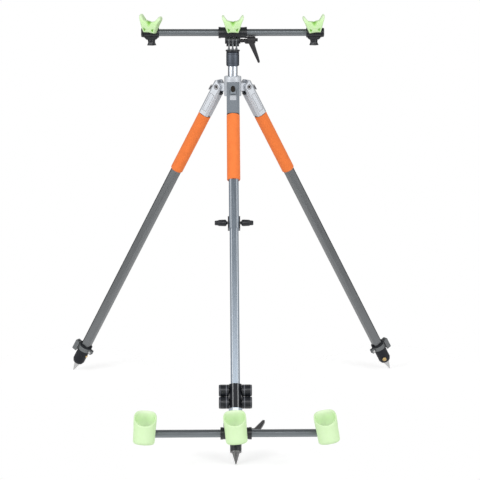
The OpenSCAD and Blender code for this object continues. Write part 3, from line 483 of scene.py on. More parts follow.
def piece(name, bm, at, paints, body, nodes, slot, crease=32, weigh=False, tint=None):
    """Places a finished shape and ties it to its CAD body."""
    bmesh.ops.recalc_face_normals(bm, faces=bm.faces)
    limit = math.radians(crease)
    for face in bm.faces:
        face.smooth = True
    for edge in bm.edges:
        edge.smooth = len(edge.link_faces) == 2 and edge.calc_face_angle(0) < limit
    bm.verts.index_update()
    local = [c * MM for v in bm.verts for c in v.co]
    tints = [tint(v.co) for v in bm.verts] if tint else None
    bm.transform(Matrix.Scale(MM, 4) @ at)
    mesh = bpy.data.meshes.new(name)
    bm.to_mesh(mesh)
    bm.free()
    mesh.attributes.new("local", "FLOAT_VECTOR", "POINT").data.foreach_set("vector", local)
    if tints:
        mesh.attributes.new("tint", "FLOAT", "POINT").data.foreach_set("value", tints)
    for mat in paints if isinstance(paints, list) else [paints]:
        mesh.materials.append(mat)
    ob = add_object(name, mesh)
    if weigh:
        even = ob.modifiers.new("even_normals", "WEIGHTED_NORMAL")
        even.keep_sharp = True
    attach(ob, body)
    if nodes:
        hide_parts(*nodes)
    return ob


def dress(node, bm, at, paints, body, slot, **looks):
    """A piece that replaces one CAD node and is named after it."""
    piece(f"{node}_piece", bm, at, paints, body, [node], slot, **looks)


def smooth_step(low, high, value):
    t = min(1, max(0, (value - low) / (high - low)))
    return t * t * (3 - 2 * t)


def along(table, value):
    """Reads a table of (value, result) by straight lines."""
    if value <= table[0][0]:
        return table[0][1]
    for (a, fa), (b, fb) in zip(table, table[1:]):
        if value <= b:
            return fa + (fb - fa) * (value - a) / (b - a)
    return table[-1][1]


# Hub and column

hub = cad_copy("hub_casting", HUB, width=0.9, steps=3)
piece("hub", hub, HUB, CASTING, "hub", ["hub_casting"], "bright_casting", weigh=True)

PIN_R, PIN_HALF = 4, 14.2
PIN_HEAD = [(0, 14.7), (2.9, 14.7), (2.9, 16.2), (5.4, 16.3), (6.5, 15.3), (6.5, 14.3), (0, 14.3)]
PIN_SOCKET_R, PIN_SOCKET_RUN = 2.85, (14.4, 15)
pins = bmesh.new()
for pose in LEG.values():
    there = HUB.inverted() @ pose
    rod(pins, PIN_R, -PIN_HALF, PIN_HALF, there @ ALONG_X)
    for side in (0, 180):
        end = there @ spin(side, "Z") @ ALONG_X
        lathe(pins, soft(PIN_HEAD, 0.35), end)
        # The floor of each pin's socket takes painted shade.
        rod(pins, PIN_SOCKET_R, *PIN_SOCKET_RUN, end, edge=0.1, paint_no=1)
piece("pivot_pins", pins, HUB, [PIN, PAINTED_SHADE], "hub", ["leg_pivot_pins"], "steel")

COLUMN_R, COLUMN_BORE, COLUMN_RUN = 12.5, 11, (-18, 85.7)
column = bmesh.new()
pipe(column, COLUMN_R, COLUMN_BORE, *COLUMN_RUN, edge=0.4, n=64)
piece("column", column, HUB, CHROME, "hub", ["column_tube"], "chrome_tube")

SLEEVE_WALL = [
    (12.6, 56), (15.2, 56, 0.3), (17, 58.4), (17, 61), (16.6, 61.3, 0.1), (16.6, 61.9, 0.1), (17, 62.2),
    (17, 86.2), (16.6, 86.5, 0.1), (16.6, 87.1, 0.1), (17, 87.4), (17, 90.6), (16.2, 92), (9.1, 92),
    (9.1, 86), (12.6, 86),
]
sleeve = bmesh.new()
lathe(sleeve, soft(SLEEVE_WALL, 0.5, closed=True), n=72, loop=True)
piece("twist_sleeve", sleeve, HUB, SLEEVE, "column_sleeve", ["column_sleeve"], "dark_sleeve")

PRONG_R, PRONG_HALF, PRONG_GAP, PRONG_BASE = 10, 2, 9.8, -23.5
PRONG_ROOT = [(-3.7, -23.6), (-2, -18.5, 3), (-1.9, -13), (1.9, -13), (2, -18.5, 3), (3.7, -23.6)]
PRONG_ROOT_HALF = 9.4


def prong_shapes(bm):
    """Three round-ended prongs that widen into their base."""
    arch = half_turn(PRONG_R, 0, 0, steps=20) + [(-PRONG_R, PRONG_BASE), (PRONG_R, PRONG_BASE)]
    root = soft(PRONG_ROOT, 0)
    for x in (-PRONG_GAP, 0, PRONG_GAP):
        slab(bm, arch, x - PRONG_HALF, x + PRONG_HALF, ACROSS)
        slab(bm, [(x + a, b) for a, b in root], -PRONG_ROOT_HALF, PRONG_ROOT_HALF, OUT_FRONT)


FLANGE = [(0, -29.5), (15.6, -29.5, 0.3), (18.5, -27.2), (18.5, -24.4), (17.4, -23.5), (0, -23.5)]
STEM = [(0, -139.5), (10.9, -139.5), (10.9, -127.5), (9, -127.5), (9, -29.4), (0, -29.4)]
post = bmesh.new()
prong_shapes(post)
round_edges(post, width=0.4)
lathe(post, soft(FLANGE, 0.7), n=64, paint_no=1)
lathe(post, soft(STEM, 0.5), paint_no=2)
piece("head_post", post, HEAD, [PRONG, BLACK, STEEL], "head_post", ["column_head"], "grey_head")

# Bars, tee clamps and levers

BAR_CORNER = 2.2
BAR_PLUG = [(0, -11), (7.4, -11), (7.4, 0.05, 0.1), (12, 0.05, 0.8), (12, 4), (10.6, 6, 1.2), (0, 6)]


def bar_shape(bm, length):
    oct_pipe(bm, BAR_AF, BAR_BORE, -length / 2, length / 2, BAR_CORNER, ALONG_X)


def plug_shapes(bm, length, paint_no=0):
    for side in (0, 180):
        end = spin(side, "Z") @ ALONG_X @ move(0, 0, length / 2)
        lathe(bm, soft(BAR_PLUG, 0.6), end, n=40, paint_no=paint_no)


top_bar = bmesh.new()
bar_shape(top_bar, TOP_BAR)
piece("top_bar", top_bar, on_head_bar(0), BAR, "head", ["head_bar"], "grey_tube")
top_plugs = bmesh.new()
plug_shapes(top_plugs, TOP_BAR)
piece("top_bar_plugs", top_plugs, on_head_bar(0), BLACK, "head", ["head_bar_plugs"], "black_plastic")
low_bar = bmesh.new()
bar_shape(low_bar, LOW_BAR)
plug_shapes(low_bar, LOW_BAR, paint_no=1)
dress("butt_bar", low_bar, on_butt_bar(0), [BAR, BLACK], "butt", "grey_tube")

for node, pose, body in (("head_clamp", HEAD, "head"), ("butt_clamp", BUTT, "butt")):
    tee = cad_copy(node, pose, width=0.9, steps=3, angle=28)
    dress(node, tee, pose, BLACK, body, "black_plastic", weigh=True)

RING_POWER, RING_POINTS = 5, 28


def rounded_ring(centre, u, v, half_u, half_v):
    """Points of a rounded rectangle about a centre."""
    ring = []
    for k in range(RING_POINTS):
        c, s = math.cos(TAU * k / RING_POINTS), math.sin(TAU * k / RING_POINTS)
        du = half_u * math.copysign(abs(c) ** (2 / RING_POWER), c)
        dv = half_v * math.copysign(abs(s) ** (2 / RING_POWER), s)
        ring.append(centre + u * du + v * dv)
    return ring


LEVER_ROOT = [
    (30.6, 3.6, 0.8), (30.6, -4.4, 2), (33.2, -7.8, 2), (57.2, -7.8, 2), (58.9, -4.8, 2), (58.9, 3.6, 0.8),
]
LEVER_ROOT_HALF, LEVER_CAM = 5, 2
LEVER_STUD_R, LEVER_STUD_RUN = 3, (-20, 40)
LEVER_NECK = [(0, 20.4), (5, 20.4), (5, 26.5), (4.2, 27.2), (4.2, 28.6), (5, 29.3), (5, 40), (0, 40)]
LEVER_HUB = [(0, 37.5), (8.7, 37.5), (9.5, 38.8), (9.5, 56.8), (8.7, 59.2), (0, 59.2)]
LEVER_BUTTON = [
    (0, 59), (4.5, 59), (4.5, 61.2, 0.1), (4, 61.6, 0.1), (4, 62.4, 0.1), (4.5, 62.8, 0.1), (4.5, 65),
    (0, 65.7),
]
LEVER_ARM = [
    (48.2, -3.5, 7.6, 4.6), (49.8, -8, 7.3, 5), (51.4, -12, 6.8, 5), (54.9, -21, 6, 4.9),
    (58.9, -31, 5.2, 4.8), (63, -41.2, 4.4, 4.6), (66.4, -50, 3.6, 4.4), (67.7, -54.2, 3.2, 4),
    (68.4, -56.6, 2.4, 3), (68.8, -57.8, 1.2, 1.4), (68.9, -58.1, 0.4, 0.4),
]


def lever_shape():
    """Clamp lever: stud and neck along X, an offset hub and a leaning arm that thins to a round tip."""
    bm = bmesh.new()
    slab(bm, soft(LEVER_ROOT, 1, closed=True), -LEVER_ROOT_HALF, LEVER_ROOT_HALF, OUT_FRONT)
    round_edges(bm, width=0.7, steps=3)
    rod(bm, LEVER_STUD_R, *LEVER_STUD_RUN, ALONG_X, paint_no=1)
    lathe(bm, soft(LEVER_NECK, 0.4), ALONG_X, n=36)
    cam = move(0, 0, LEVER_CAM) @ ALONG_X
    lathe(bm, soft(LEVER_HUB, 0.8), cam, n=56)
    lathe(bm, soft(LEVER_BUTTON, 0.5), cam, n=36)
    rows = []
    for i, (x, z, half, thick) in enumerate(LEVER_ARM):
        x0, z0 = LEVER_ARM[max(0, i - 1)][:2]
        x1, z1 = LEVER_ARM[min(len(LEVER_ARM) - 1, i + 1)][:2]
        run = Vector((x1 - x0, 0, z1 - z0)).normalized()
        across = Vector((-run.z, 0, run.x))
        rows.append(rounded_ring(Vector((x, 0, z)), across, Vector((0, 1, 0)), half, thick))
    skin(bm, rows)
    return bm


for node, pose in (("head_lever", HEAD), ("butt_lever", BUTT @ spin(BUTT_LEVER_TURN, "X"))):
    dress(node, lever_shape(), pose, [LEVER, STEEL], node, "black_plastic", crease=40)

# Bar clamps and their knobs

CLAMP_R, CLAMP_BORE, CLAMP_HALF = 13, 9.95, 20
BEAD_R, BEAD_BORE, BEAD_LEN, BEAD_STARTS = 13.45, 12, 3.2, (-17.6, 14.4)
CLAMP_FOOT = [
    (-17, -11.2), (-16.4, -14.4, 1), (-11.8, -18, 1.2), (11.8, -18, 1.2), (16.4, -14.4, 1), (17, -11.2),
    (9, -10.2), (-9, -10.2),
]
CLAMP_FOOT_HALF = 9
CLAMP_BOSS = [(4, 10), (8, 10), (8, 17.3), (4, 17.3)]
PEG_R, PEG_RUN = 4, (10.2, 25.3)


def clamp_shape(boss_up):
    """Sliding clamp: barrel with end beads, a winged block for the screw and the boss with its peg."""
    bm = bmesh.new()
    pipe(bm, CLAMP_R, CLAMP_BORE, -CLAMP_HALF, CLAMP_HALF, ALONG_X, edge=1.1, n=56)
    for x in BEAD_STARTS:
        pipe(bm, BEAD_R, BEAD_BORE, x, x + BEAD_LEN, ALONG_X, n=56)
    slab(bm, soft(CLAMP_FOOT, 0.4, closed=True), -CLAMP_FOOT_HALF, CLAMP_FOOT_HALF, OUT_FRONT)
    out = move(0, 0, boss_up) @ OUT_FRONT
    lathe(bm, soft(CLAMP_BOSS, 0.6, closed=True), out, n=40, loop=True)
    rod(bm, PEG_R, *PEG_RUN, out, paint_no=1)
    return bm


KNOB_TOP, KNOB_LOBES, LOBE_POWER = -18.3, 5, 1.5
KNOB_SCREW_R, KNOB_SCREW_RUN = 3, (-18.4, -9.4)
KNOB_ROWS = [
    (9, 0, 0), (9.8, -0.5, 0.1), (10, -1.6, 0.2), (9.6, -4, 0.5), (9.5, -6.2, 0.8), (10, -8.4, 1.4),
    (11.1, -10.6, 2.1), (12, -12.4, 2.7), (12.5, -13.5, 3), (12.4, -14.2, 3), (11.6, -14.5, 2.6),
    (10.2, -14, 1.8), (7.6, -12, 0.7), (4, -10.2, 0), (0, -9.6, 0),
]


def knob_shape():
    """Lobed hand knob that flares from its neck, hollow below."""
    bm = bmesh.new()
    profile = [(r, h + KNOB_TOP) for r, h, _ in KNOB_ROWS]
    flute = sorted((h + KNOB_TOP, depth) for _, h, depth in KNOB_ROWS)

    def lobes(angle, r, h):
        dip = 0.5 - 0.5 * math.cos(KNOB_LOBES * angle)
        return r - along(flute, h) * dip ** LOBE_POWER

    lathe(bm, profile, n=100, wave=lobes)
    rod(bm, KNOB_SCREW_R, *KNOB_SCREW_RUN, paint_no=1)
    return bm


for side, sign in (("left", -1), ("right", 1)):
    rest_pose = on_head_bar(sign * REST_X)
    cup_pose = on_butt_bar(sign * CUP_X) @ spin(180, "Y")
    for kind, pose, boss_up in (("rest", rest_pose, REST_PEG), ("cup", cup_pose, 0)):
        for part, shape in (("clamp", clamp_shape(boss_up)), ("knob", knob_shape())):
            node = f"{kind}_{part}_{side}"
            dress(node, shape, pose, [BLACK, STEEL], node, "black_plastic")

# V rests

REST_HALF = [
    (0, 1.4), (8, 0.6, 4), (14.2, 0, 1.6), (18.4, 11, 20), (22.8, 25.2, 20), (27.9, 36.6, 5), (28.4, 42.6, 3),
    (26.4, 46, 1.6), (23.4, 45.2, 1.6), (19.6, 38.4, 8), (14.2, 31.2, 5), (5, 29.7, 4), (0, 28.2),
]
REST_FRONT = [
    (0, -23.1), (6, -27), (12.9, -30.4), (20, -32.3), (26.7, -33), (34, -31.2), (40.5, -28.4), (46, -20.5),
]
REST_BACK = [(0, 0), (27.6, 0), (39.1, -3.3), (46, -11.2)]
REST_SEAT, REST_DROP = -17.6, -1.3
REST_ROLLS, REST_YAWS = (7, 0, -6), (-13, 0, 0)
FOLD_WIDE = [(8, 1), (14, 2.5), (20, 5.5), (28.2, 10)]
FOLD_DEEP = [(8, 0), (14, 1), (22, 4.2), (28.2, 7.5)]
REST_POCKET = ((6.4, 8.4), (14.4, 12.8), (11.2, 2.6))
POCKET_DEEP, POCKET_EDGE = 3.2, (-0.5, 1.1)
REST_STEP, REST_CLEAR, REST_WIDE, REST_TALL, REST_ROWS = 1.1, 0.55, 29, 47, 8
INSIDE_FACES, POINT_WELD = 1, 0.0001
FRONT_EASE, BACK_EASE, BACK_RUN = 2.6, 0.8, 1.2
# Tones of the rests' painted light: shade in folds, pockets, waist and back, glow at the tips.
REST_TONE, TIP_GAIN, WAIST_LOSS, BACK_LOSS, LEAST_TONE = 0.7, 0.16, 0.08, 0.1, 0.02
FOLD_LOSS, POCKET_LOSS = 0.085, 0.2
FRONT_FADE, TIP_FADE, WAIST_RISE, WAIST_FALL = (-8, -18), (28, 42), (10, 26), (28, 36)


def evenly(points, step):
    """A closed outline resampled at about one step."""
    out = []
    for a, b in zip(points, points[1:] + points[:1]):
        a, b = Vector(a), Vector(b)
        count = max(1, round((b - a).length / step))
        out += [a.lerp(b, k / count) for k in range(count)]
    return out


def rest_folds(x, z):
    """Depth of the crease and the pockets in a rest's face at a point."""
    fold = along(FOLD_DEEP, z) * (1 - smooth_step(0, 1, abs(x) / along(FOLD_WIDE, z)))
    inside = []
    for (px, pz), (qx, qz) in zip(REST_POCKET, REST_POCKET[1:] + REST_POCKET[:1]):
        length = math.hypot(qx - px, qz - pz)
        inside.append(-((qx - px) * (z - pz) - (qz - pz) * (abs(x) - px)) / length)
    return fold, POCKET_DEEP * smooth_step(*POCKET_EDGE, min(inside))


def rest_shape():
    """V rest: a front face with a crease and two pockets, walls, and a flat back."""
    half = soft(REST_HALF, 2)
    outline = evenly(half + [(-x, z) for x, z in reversed(half[1:-1])], REST_STEP)
    count = len(outline)

    def edge_distance(spot):
        gaps = []
        for a, b in zip(outline, outline[1:] + outline[:1]):
            t = min(1, max(0, geometry.intersect_point_line(spot, a, b)[1]))
            gaps.append((spot - a.lerp(b, t)).length)
        return min(gaps)

    points = list(outline)
    for gx in range(-REST_WIDE, REST_WIDE + 1):
        for gz in range(REST_TALL):
            spot = Vector((gx + 0.5 * (gz % 2), gz))
            if edge_distance(spot) > REST_CLEAR:
                points.append(spot)
    edges = [(k, (k + 1) % count) for k in range(count)]
    flat, _, tris, _, _, _ = geometry.delaunay_2d_cdt(points, edges, [], INSIDE_FACES, POINT_WELD)
    bm = bmesh.new()
    front, back = [], []
    for i, p in enumerate(flat):
        margin = edge_distance(p) if i >= count else 0
        fold, pocket = rest_folds(p.x, p.y)
        short = FRONT_EASE - min(margin, FRONT_EASE)
        curl = FRONT_EASE - math.sqrt(max(0, FRONT_EASE ** 2 - short ** 2))
        lean = BACK_EASE * max(0, 1 - margin / BACK_RUN)
        front.append(bm.verts.new((p.x, along(REST_FRONT, p.y) + curl + fold + pocket, p.y)))
        back.append(bm.verts.new((p.x, along(REST_BACK, p.y) - lean, p.y)))
    for tri in tris:
        bm.faces.new([front[i] for i in tri])
        bm.faces.new([back[i] for i in reversed(tri)])
    rows = [front[:count]]
    for s in range(1, REST_ROWS):
        rows.append([bm.verts.new(a.co.lerp(b.co, s / REST_ROWS)) for a, b in zip(rows[0], back)])
    rows.append(back[:count])
    for a, b in zip(rows, rows[1:]):
        for k in range(count):
            n = (k + 1) % count
            bm.faces.new([a[k], a[n], b[n], b[k]])
    bm.transform(move(0, REST_SEAT, -REST_DROP))
    return bm


def rest_tint(co):
    """Painted shade in the crease, in the pockets, at the waist and at the back; painted glow towards the
    thin tips.
    """
    y, z = co.y - REST_SEAT, co.z + REST_DROP
    fold, pocket = rest_folds(co.x, z)
    front = smooth_step(*FRONT_FADE, y)
    waist = smooth_step(*WAIST_RISE, z) * (1 - smooth_step(*WAIST_FALL, z))
    tone = REST_TONE + TIP_GAIN * smooth_step(*TIP_FADE, z) - WAIST_LOSS * waist
    loss = front * (FOLD_LOSS * fold + POCKET_LOSS * pocket) + (1 - front) * BACK_LOSS
    return max(LEAST_TONE, tone - loss)


for (side, sign), roll, yaw in zip(SIDES, REST_ROLLS, REST_YAWS):
    faced = move(0, REST_SEAT, 0) @ spin(yaw, "Z") @ move(0, -REST_SEAT, 0)
    pose = on_head_bar(sign * REST_X) @ rolled(roll, REST_PEG) @ faced
    node = f"rest_{side}"
    dress(node, rest_shape(), pose, RUBBER, node, "pale_green_rubber", crease=50, tint=rest_tint)

# Butt cups

CUP_RIM = [
    (0, 75), (30, 74.8), (48, 74), (62, 72), (75, 68.7), (90, 63.5), (105, 58.4), (120, 53.9), (135, 50.3),
    (150, 47.5), (165, 45.6), (180, 45),
]
CUP_SIDE = [
    (0, 19.6), (0.5, 21.6), (1.6, 23.4), (3.4, 24.8), (6, 25.5), (12, 25.7), (30, 25.8), (42, 26.5),
    (54, 27.1), (66, 26.8), (75, 26.2),
]
CUP_FOOT = (0, 0.5, 1.6, 3.4, 6)
CUP_AXIS, CUP_DROP, CUP_FLOOR, CUP_WALL, CUP_BEAD = -49.6, 16, 5, 3.6, 1.8
CUP_COLUMNS, CUP_ROWS = 88, 12
CUP_ROLLS = (4, -5, -10)
RIM_SPREAD, BEAD_ANGLES = (-8, -4, 0, 4, 8), (40, 75, 105, 140)
FILLET_RISE, FILLET = 4, ((1.2, 1.4), (4, 0.1))
CUP_BOSS = [(4.1, 17.6), (8, 17.6), (8, 22.5), (9.5, 25), (4.1, 25)]
# Cup tones: painted glow inside, darker sides and foot, a faint random mottle.
CUP_TONE, INNER_GAIN, SIDE_LOSS, FOOT_LOSS = 0.8, 0.2, 0.06, 0.1
CUP_MOTTLE, CUP_GRAIN = 0.03, 0.12
INNER_FADE, BASE_FADE, SIDE_FADE, FOOT_FADE = (23.6, 22.6), (6, 14), (12, 24), (4, 0)


def cup_rim(turn):
    """Height of the rim at a turn from the far side, evened out over a few degrees."""
    around = [min(180, abs(turn + d)) for d in RIM_SPREAD]
    return sum(along(CUP_RIM, a) for a in around) / len(around)


def cup_shape():
    """Round cup with a slanted, beaded mouth, a rounded foot and the boss of its swivel."""
    bm = bmesh.new()
    low, inner_low = CUP_FOOT[-1], CUP_FLOOR + FILLET_RISE
    columns = []
    for k in range(CUP_COLUMNS):
        angle = TAU * k / CUP_COLUMNS
        rim = cup_rim(abs((math.degrees(angle) + 180) % 360 - 180)) - CUP_BEAD
        column = [(along(CUP_SIDE, h), h) for h in CUP_FOOT]
        for s in range(1, CUP_ROWS + 1):
            h = low + (rim - low) * s / CUP_ROWS
            column.append((along(CUP_SIDE, h), h))
        middle = along(CUP_SIDE, rim) - CUP_WALL / 2
        for a in BEAD_ANGLES:
            bead = math.radians(a)
            column.append((middle + CUP_WALL / 2 * math.cos(bead), rim + CUP_BEAD * math.sin(bead)))
        for s in range(CUP_ROWS + 1):
            h = rim + (inner_low - rim) * s / CUP_ROWS
            column.append((along(CUP_SIDE, h) - CUP_WALL, h))
        inside = along(CUP_SIDE, inner_low) - CUP_WALL
        column += [(inside - inset, CUP_FLOOR + rise) for inset, rise in FILLET]
        x, y = math.sin(angle), math.cos(angle)
        columns.append([Vector((r * x, CUP_AXIS + r * y, h - CUP_DROP)) for r, h in column])
    under = [Vector((0, CUP_AXIS, -CUP_DROP))]
    bottom = [Vector((0, CUP_AXIS, CUP_FLOOR - CUP_DROP))]
    skin(bm, [under] + [list(row) for row in zip(*columns)] + [bottom])
    lathe(bm, soft(CUP_BOSS, 0.7, closed=True), OUT_FRONT, n=40, loop=True)
    return bm


def cup_tint(co):
    """Painted glow inside the cup, darker at its sides and foot, with a faint random mottle."""
    z = co.z + CUP_DROP
    reach = math.hypot(co.x, co.y - CUP_AXIS)
    inner = smooth_step(*INNER_FADE, reach) * smooth_step(*BASE_FADE, z)
    loss = SIDE_LOSS * smooth_step(*SIDE_FADE, abs(co.x)) + FOOT_LOSS * smooth_step(*FOOT_FADE, z)
    return CUP_TONE + INNER_GAIN * inner - loss + CUP_MOTTLE * noise.noise(co * CUP_GRAIN)


for (side, sign), roll in zip(SIDES, CUP_ROLLS):
    pose = on_butt_bar(sign * CUP_X) @ rolled(roll, 0)
    node = f"cup_{side}"
    dress(node, cup_shape(), pose, RUBBER, node, "pale_green_rubber", crease=60, tint=cup_tint)

# Legs

GRIP_R, GRIP_LIP, GRIP_BORE, GRIP_GAP = 17, 15.2, 13.7, 0.3
GRIP_SHOULDER, GRIP_SOFT, GRIP_ROWS = 2.2, 1.6, 24
GRIP_SKIN, GRIP_UNEVEN, GRIP_ROUND, GRIP_ALONG = 14, 0.12, 2, 0.03


def grip_shape(t0, length):
    """Foam sleeve with soft ends and a slightly uneven skin."""
    bm = bmesh.new()
    top, end = -t0 - GRIP_GAP, -t0 - length
    wall = [(GRIP_BORE, top), (GRIP_LIP, top), (GRIP_R, top - GRIP_SHOULDER, GRIP_SOFT)]
    run = end - top + 2 * GRIP_SHOULDER
    wall += [(GRIP_R, top - GRIP_SHOULDER + run * k / GRIP_ROWS, 0) for k in range(1, GRIP_ROWS)]
    wall += [(GRIP_R, end + GRIP_SHOULDER, GRIP_SOFT), (GRIP_LIP, end), (GRIP_BORE, end)]

    def uneven(angle, r, h):
        if r < GRIP_SKIN:
            return r
        spot = Vector((GRIP_ROUND * math.cos(angle), GRIP_ROUND * math.sin(angle), h * GRIP_ALONG))
        return r + GRIP_UNEVEN * noise.noise(spot)

    lathe(bm, soft(wall, 0.6), n=64, wave=uneven, loop=True)
    return bm


PANEL_HALF, PANEL_LOW, PANEL_TOP = 6.4, -74, -22
GROOVE_WIDE, GROOVE_DEEP = 1.2, 0.5
CUT_OVER, NEAR = 1, 0.05


def panel_groove(bm, side):
    """Cutter for the thin line round the panel on one side of a bracket."""
    face = spin(side, "Z") @ move(BRACKET_SIDE, 0, 0) @ ACROSS
    rims = ((0, -GROOVE_DEEP), (0, CUT_OVER), (GROOVE_WIDE, CUT_OVER), (GROOVE_WIDE, -GROOVE_DEEP))
    rings = []
    for inset, up in rims:
        half, low, top = PANEL_HALF - inset, PANEL_LOW + inset, PANEL_TOP - inset
        corners = ((-half, low), (half, low), (half, top), (-half, top))
        rings.append([face @ Vector((y, z, up)) for y, z in corners])
    skin(bm, rings, loop=True)


def bracket_shape(leg):
    """Fork bracket. The side legs' brackets have a panel line that takes the second paint, a darker grey of
    painted shade.
    """
    bm = cad_copy(f"{leg}_bracket", LEG[leg], width=0.8, angle=32)
    if leg == "front":
        return bm
    cutter = bmesh.new()
    for side in (0, 180):
        panel_groove(cutter, side)
    bm = carve(bm, cutter)

    def in_groove(spot):
        sunk = BRACKET_SIDE - GROOVE_DEEP - NEAR < abs(spot.x) < BRACKET_SIDE - 2 * NEAR
        return sunk and abs(spot.y) <= PANEL_HALF and PANEL_LOW <= spot.z <= PANEL_TOP

    # The groove takes a darker grey: painted shade in the line.
    paint_where(bm, in_groove)
    return bm


LATCH_FACE, LATCH_POCKET, LATCH_LIP = -21.55, 1, -9.15
SLOT_HALF, SLOT_LOW = 5.4, -13.2
WINDOW_HALF, WINDOW_TOP, WINDOW_LOW = 6.9, 2.9, -5.4
WINDOW_FRONT, WINDOW_BACK = -14, -12.8
WINDOW_SLOT_TOP, WINDOW_SLOT_RUN = -2.8, (13.5, 14.1)


def latch_shape(leg):
    """Latch plate whose blade has a round-ended pocket, open at its top; the pocket and the top of the plate
    take the second paint, which is painted shade on the front leg.
    """
    bm = cad_copy(f"{leg}_latch", LEG[leg], width=0.4)
    pocket = bmesh.new()
    outline = half_turn(SLOT_HALF, SLOT_LOW, 180) + [(SLOT_HALF, 0), (-SLOT_HALF, 0)]
    slab(pocket, outline, -LATCH_FACE - LATCH_POCKET, -LATCH_FACE + CUT_OVER, OUT_FRONT)
    bm = carve(bm, pocket)

    def in_shaded_pocket(spot):
        sunk = LATCH_FACE + NEAR < spot.y and abs(spot.x) < SLOT_HALF + NEAR
        return spot.z > LATCH_LIP or (sunk and spot.z > SLOT_LOW - SLOT_HALF - NEAR)

    paint_where(bm, in_shaded_pocket)
    return bm


def window_shade_shape():
    """Filler of the window above the latch, with a dark patch of painted shade at the upper end of the slot.
    """
    bm = bmesh.new()
    block(bm, -WINDOW_HALF, WINDOW_HALF, WINDOW_FRONT, WINDOW_BACK, WINDOW_LOW, WINDOW_TOP)
    outline = half_turn(SLOT_HALF, WINDOW_SLOT_TOP, 0)
    outline += [(-SLOT_HALF, WINDOW_LOW), (SLOT_HALF, WINDOW_LOW)]
    # This dark patch is painted shade in the slot.
    slab(bm, outline, *WINDOW_SLOT_RUN, OUT_FRONT, paint_no=1)
    return bm


TAB = [(-12.9, -22.8), (-14, -23.2), (-15, -37.8), (-13, -38)]
TAB_HALF = 8.2
SHADE_RING_R, SHADE_RING_RUN = 16.3, (-1.7, -0.1)
STOP_PAD = (-7, 7, 9, 16.4, -15.4, -10.8)
for leg, pose in LEG.items():
    body = f"{leg}_leg"
    cast = GREY_CASTING if leg == "front" else CASTING
    dress(f"{leg}_bracket", bracket_shape(leg), pose, [cast, PLATE], body, "bright_casting", weigh=True)
    grip = grip_shape(BRACKET_LEN[leg], GRIP_LEN[leg])
    foam = piece(f"{leg}_foam", grip, pose, FOAM, body, [f"{leg}_grip"], "orange_foam")
    # A thin dark ring where the foam meets the bracket: painted shade in the gap between them.
    ring = bmesh.new()
    pipe(ring, SHADE_RING_R, GRIP_BORE, *(h - BRACKET_LEN[leg] for h in SHADE_RING_RUN), edge=0.3)
    piece(f"{leg}_grip_shade_ring", ring, pose, PAINTED_SHADE, body, [], "black_plastic")
    # On the front leg the latch's pocket and top take painted shade; the side legs' latches are one plain
    # grey.
    latch_paints = [GREY_CASTING, PAINTED_SHADE] if leg == "front" else [PLATE, PLATE]
    dress(f"{leg}_latch", latch_shape(leg), pose, latch_paints, f"{leg}_latch", "dark_plate")
    piece(f"{leg}_window_shade_filler", window_shade_shape(), pose, [cast, PAINTED_SHADE], body, [], "dark_plate")
    tab = bmesh.new()
    slab(tab, TAB, -TAB_HALF, TAB_HALF, ACROSS)
    round_edges(tab, width=0.3)
    piece(f"{leg}_latch_seat", tab, pose, CASTING, body, [], "bright_casting")
    stop = bmesh.new()
    block(stop, *STOP_PAD)
    round_edges(stop, width=1.2, steps=3)
    piece(f"{leg}_stop_pad", stop, pose, BLACK, body, [], "black_plastic")

TUBE_CORNER, TUBE_FLAT = 1.6, 0.62


def tube_piece(node, leg, body, af, bore, top, end):
    """Leg tube whose main flats are wide. The front leg's bright edges take the second paint, a painted
    highlight.
    """
    bm = bmesh.new()
    oct_pipe(bm, af, bore, -end, -top, TUBE_CORNER, flat=TUBE_FLAT * af)
    # The front leg's rounded corner edges take a painted highlight.
    if leg == "front":
        bmesh.ops.recalc_face_normals(bm, faces=bm.faces)
        paint_front_edge_highlights(bm)
    paints = [FRONT_TUBE, PAINTED_HIGHLIGHT] if leg == "front" else TUBE
    dress(node, bm, LEG[leg], paints, body, "grey_tube")


tube_piece("front_upper_tube", "front", "front_leg", TUBE_AF, TUBE_BORE, SOCKET_TOP, FRONT_TUBE_END)
tube_piece("front_lower_tube", "front", "front_lower", INNER_AF, INNER_BORE, INNER_TOP, CAP_FLOOR)
for leg in ("left", "right"):
    tube_piece(f"{leg}_tube", leg, f"{leg}_leg", TUBE_AF, TUBE_BORE, SOCKET_TOP, FOOT_SEAT)
    tube_piece(f"{leg}_inner_tube", leg, f"{leg}_lower", INNER_AF, INNER_BORE, INNER_TOP, FOOT_END)

# Front leg lock

clip = cad_copy("front_lock_clip", FRONT, width=0.6)
dress("front_lock_clip", clip, FRONT, BLACK, "front_leg", "black_plastic", weigh=True)

LOCK_KNOB = [
    (0, 15.8), (3.9, 15.8), (3.9, 18.2), (6.6, 19.2), (8.1, 20.8), (8.5, 23), (8.5, 26.4, 0.4),
    (8.1, 26.8, 0.2), (8.4, 27.3, 0.4), (8, 38.6, 0.6), (7, 39.6, 0.6), (6.7, 40.2, 0.2), (6.6, 41, 0.4),
    (5.9, 47.4), (4.9, 48.8), (0, 48.8),
]
LOCK_SCREW_R, LOCK_SCREW_RUN = 3, (11.4, 17)
LOCK_FLUTES, FLUTE_DEEP, FLUTE_FADE = 10, 0.55, (28, 30)


def lock_knob_shape():
    """Thumb knob: round head with a groove and a fluted, tapered tail."""
    bm = bmesh.new()
    rod(bm, LOCK_SCREW_R, *LOCK_SCREW_RUN, ALONG_X, paint_no=1)

    def flutes(angle, r, h):
        dip = (0.5 - 0.5 * math.cos(LOCK_FLUTES * angle)) ** 2
        return r - FLUTE_DEEP * smooth_step(*FLUTE_FADE, h) * dip

    lathe(bm, soft(LOCK_KNOB, 0.8), ALONG_X, n=80, wave=flutes)
    return bm


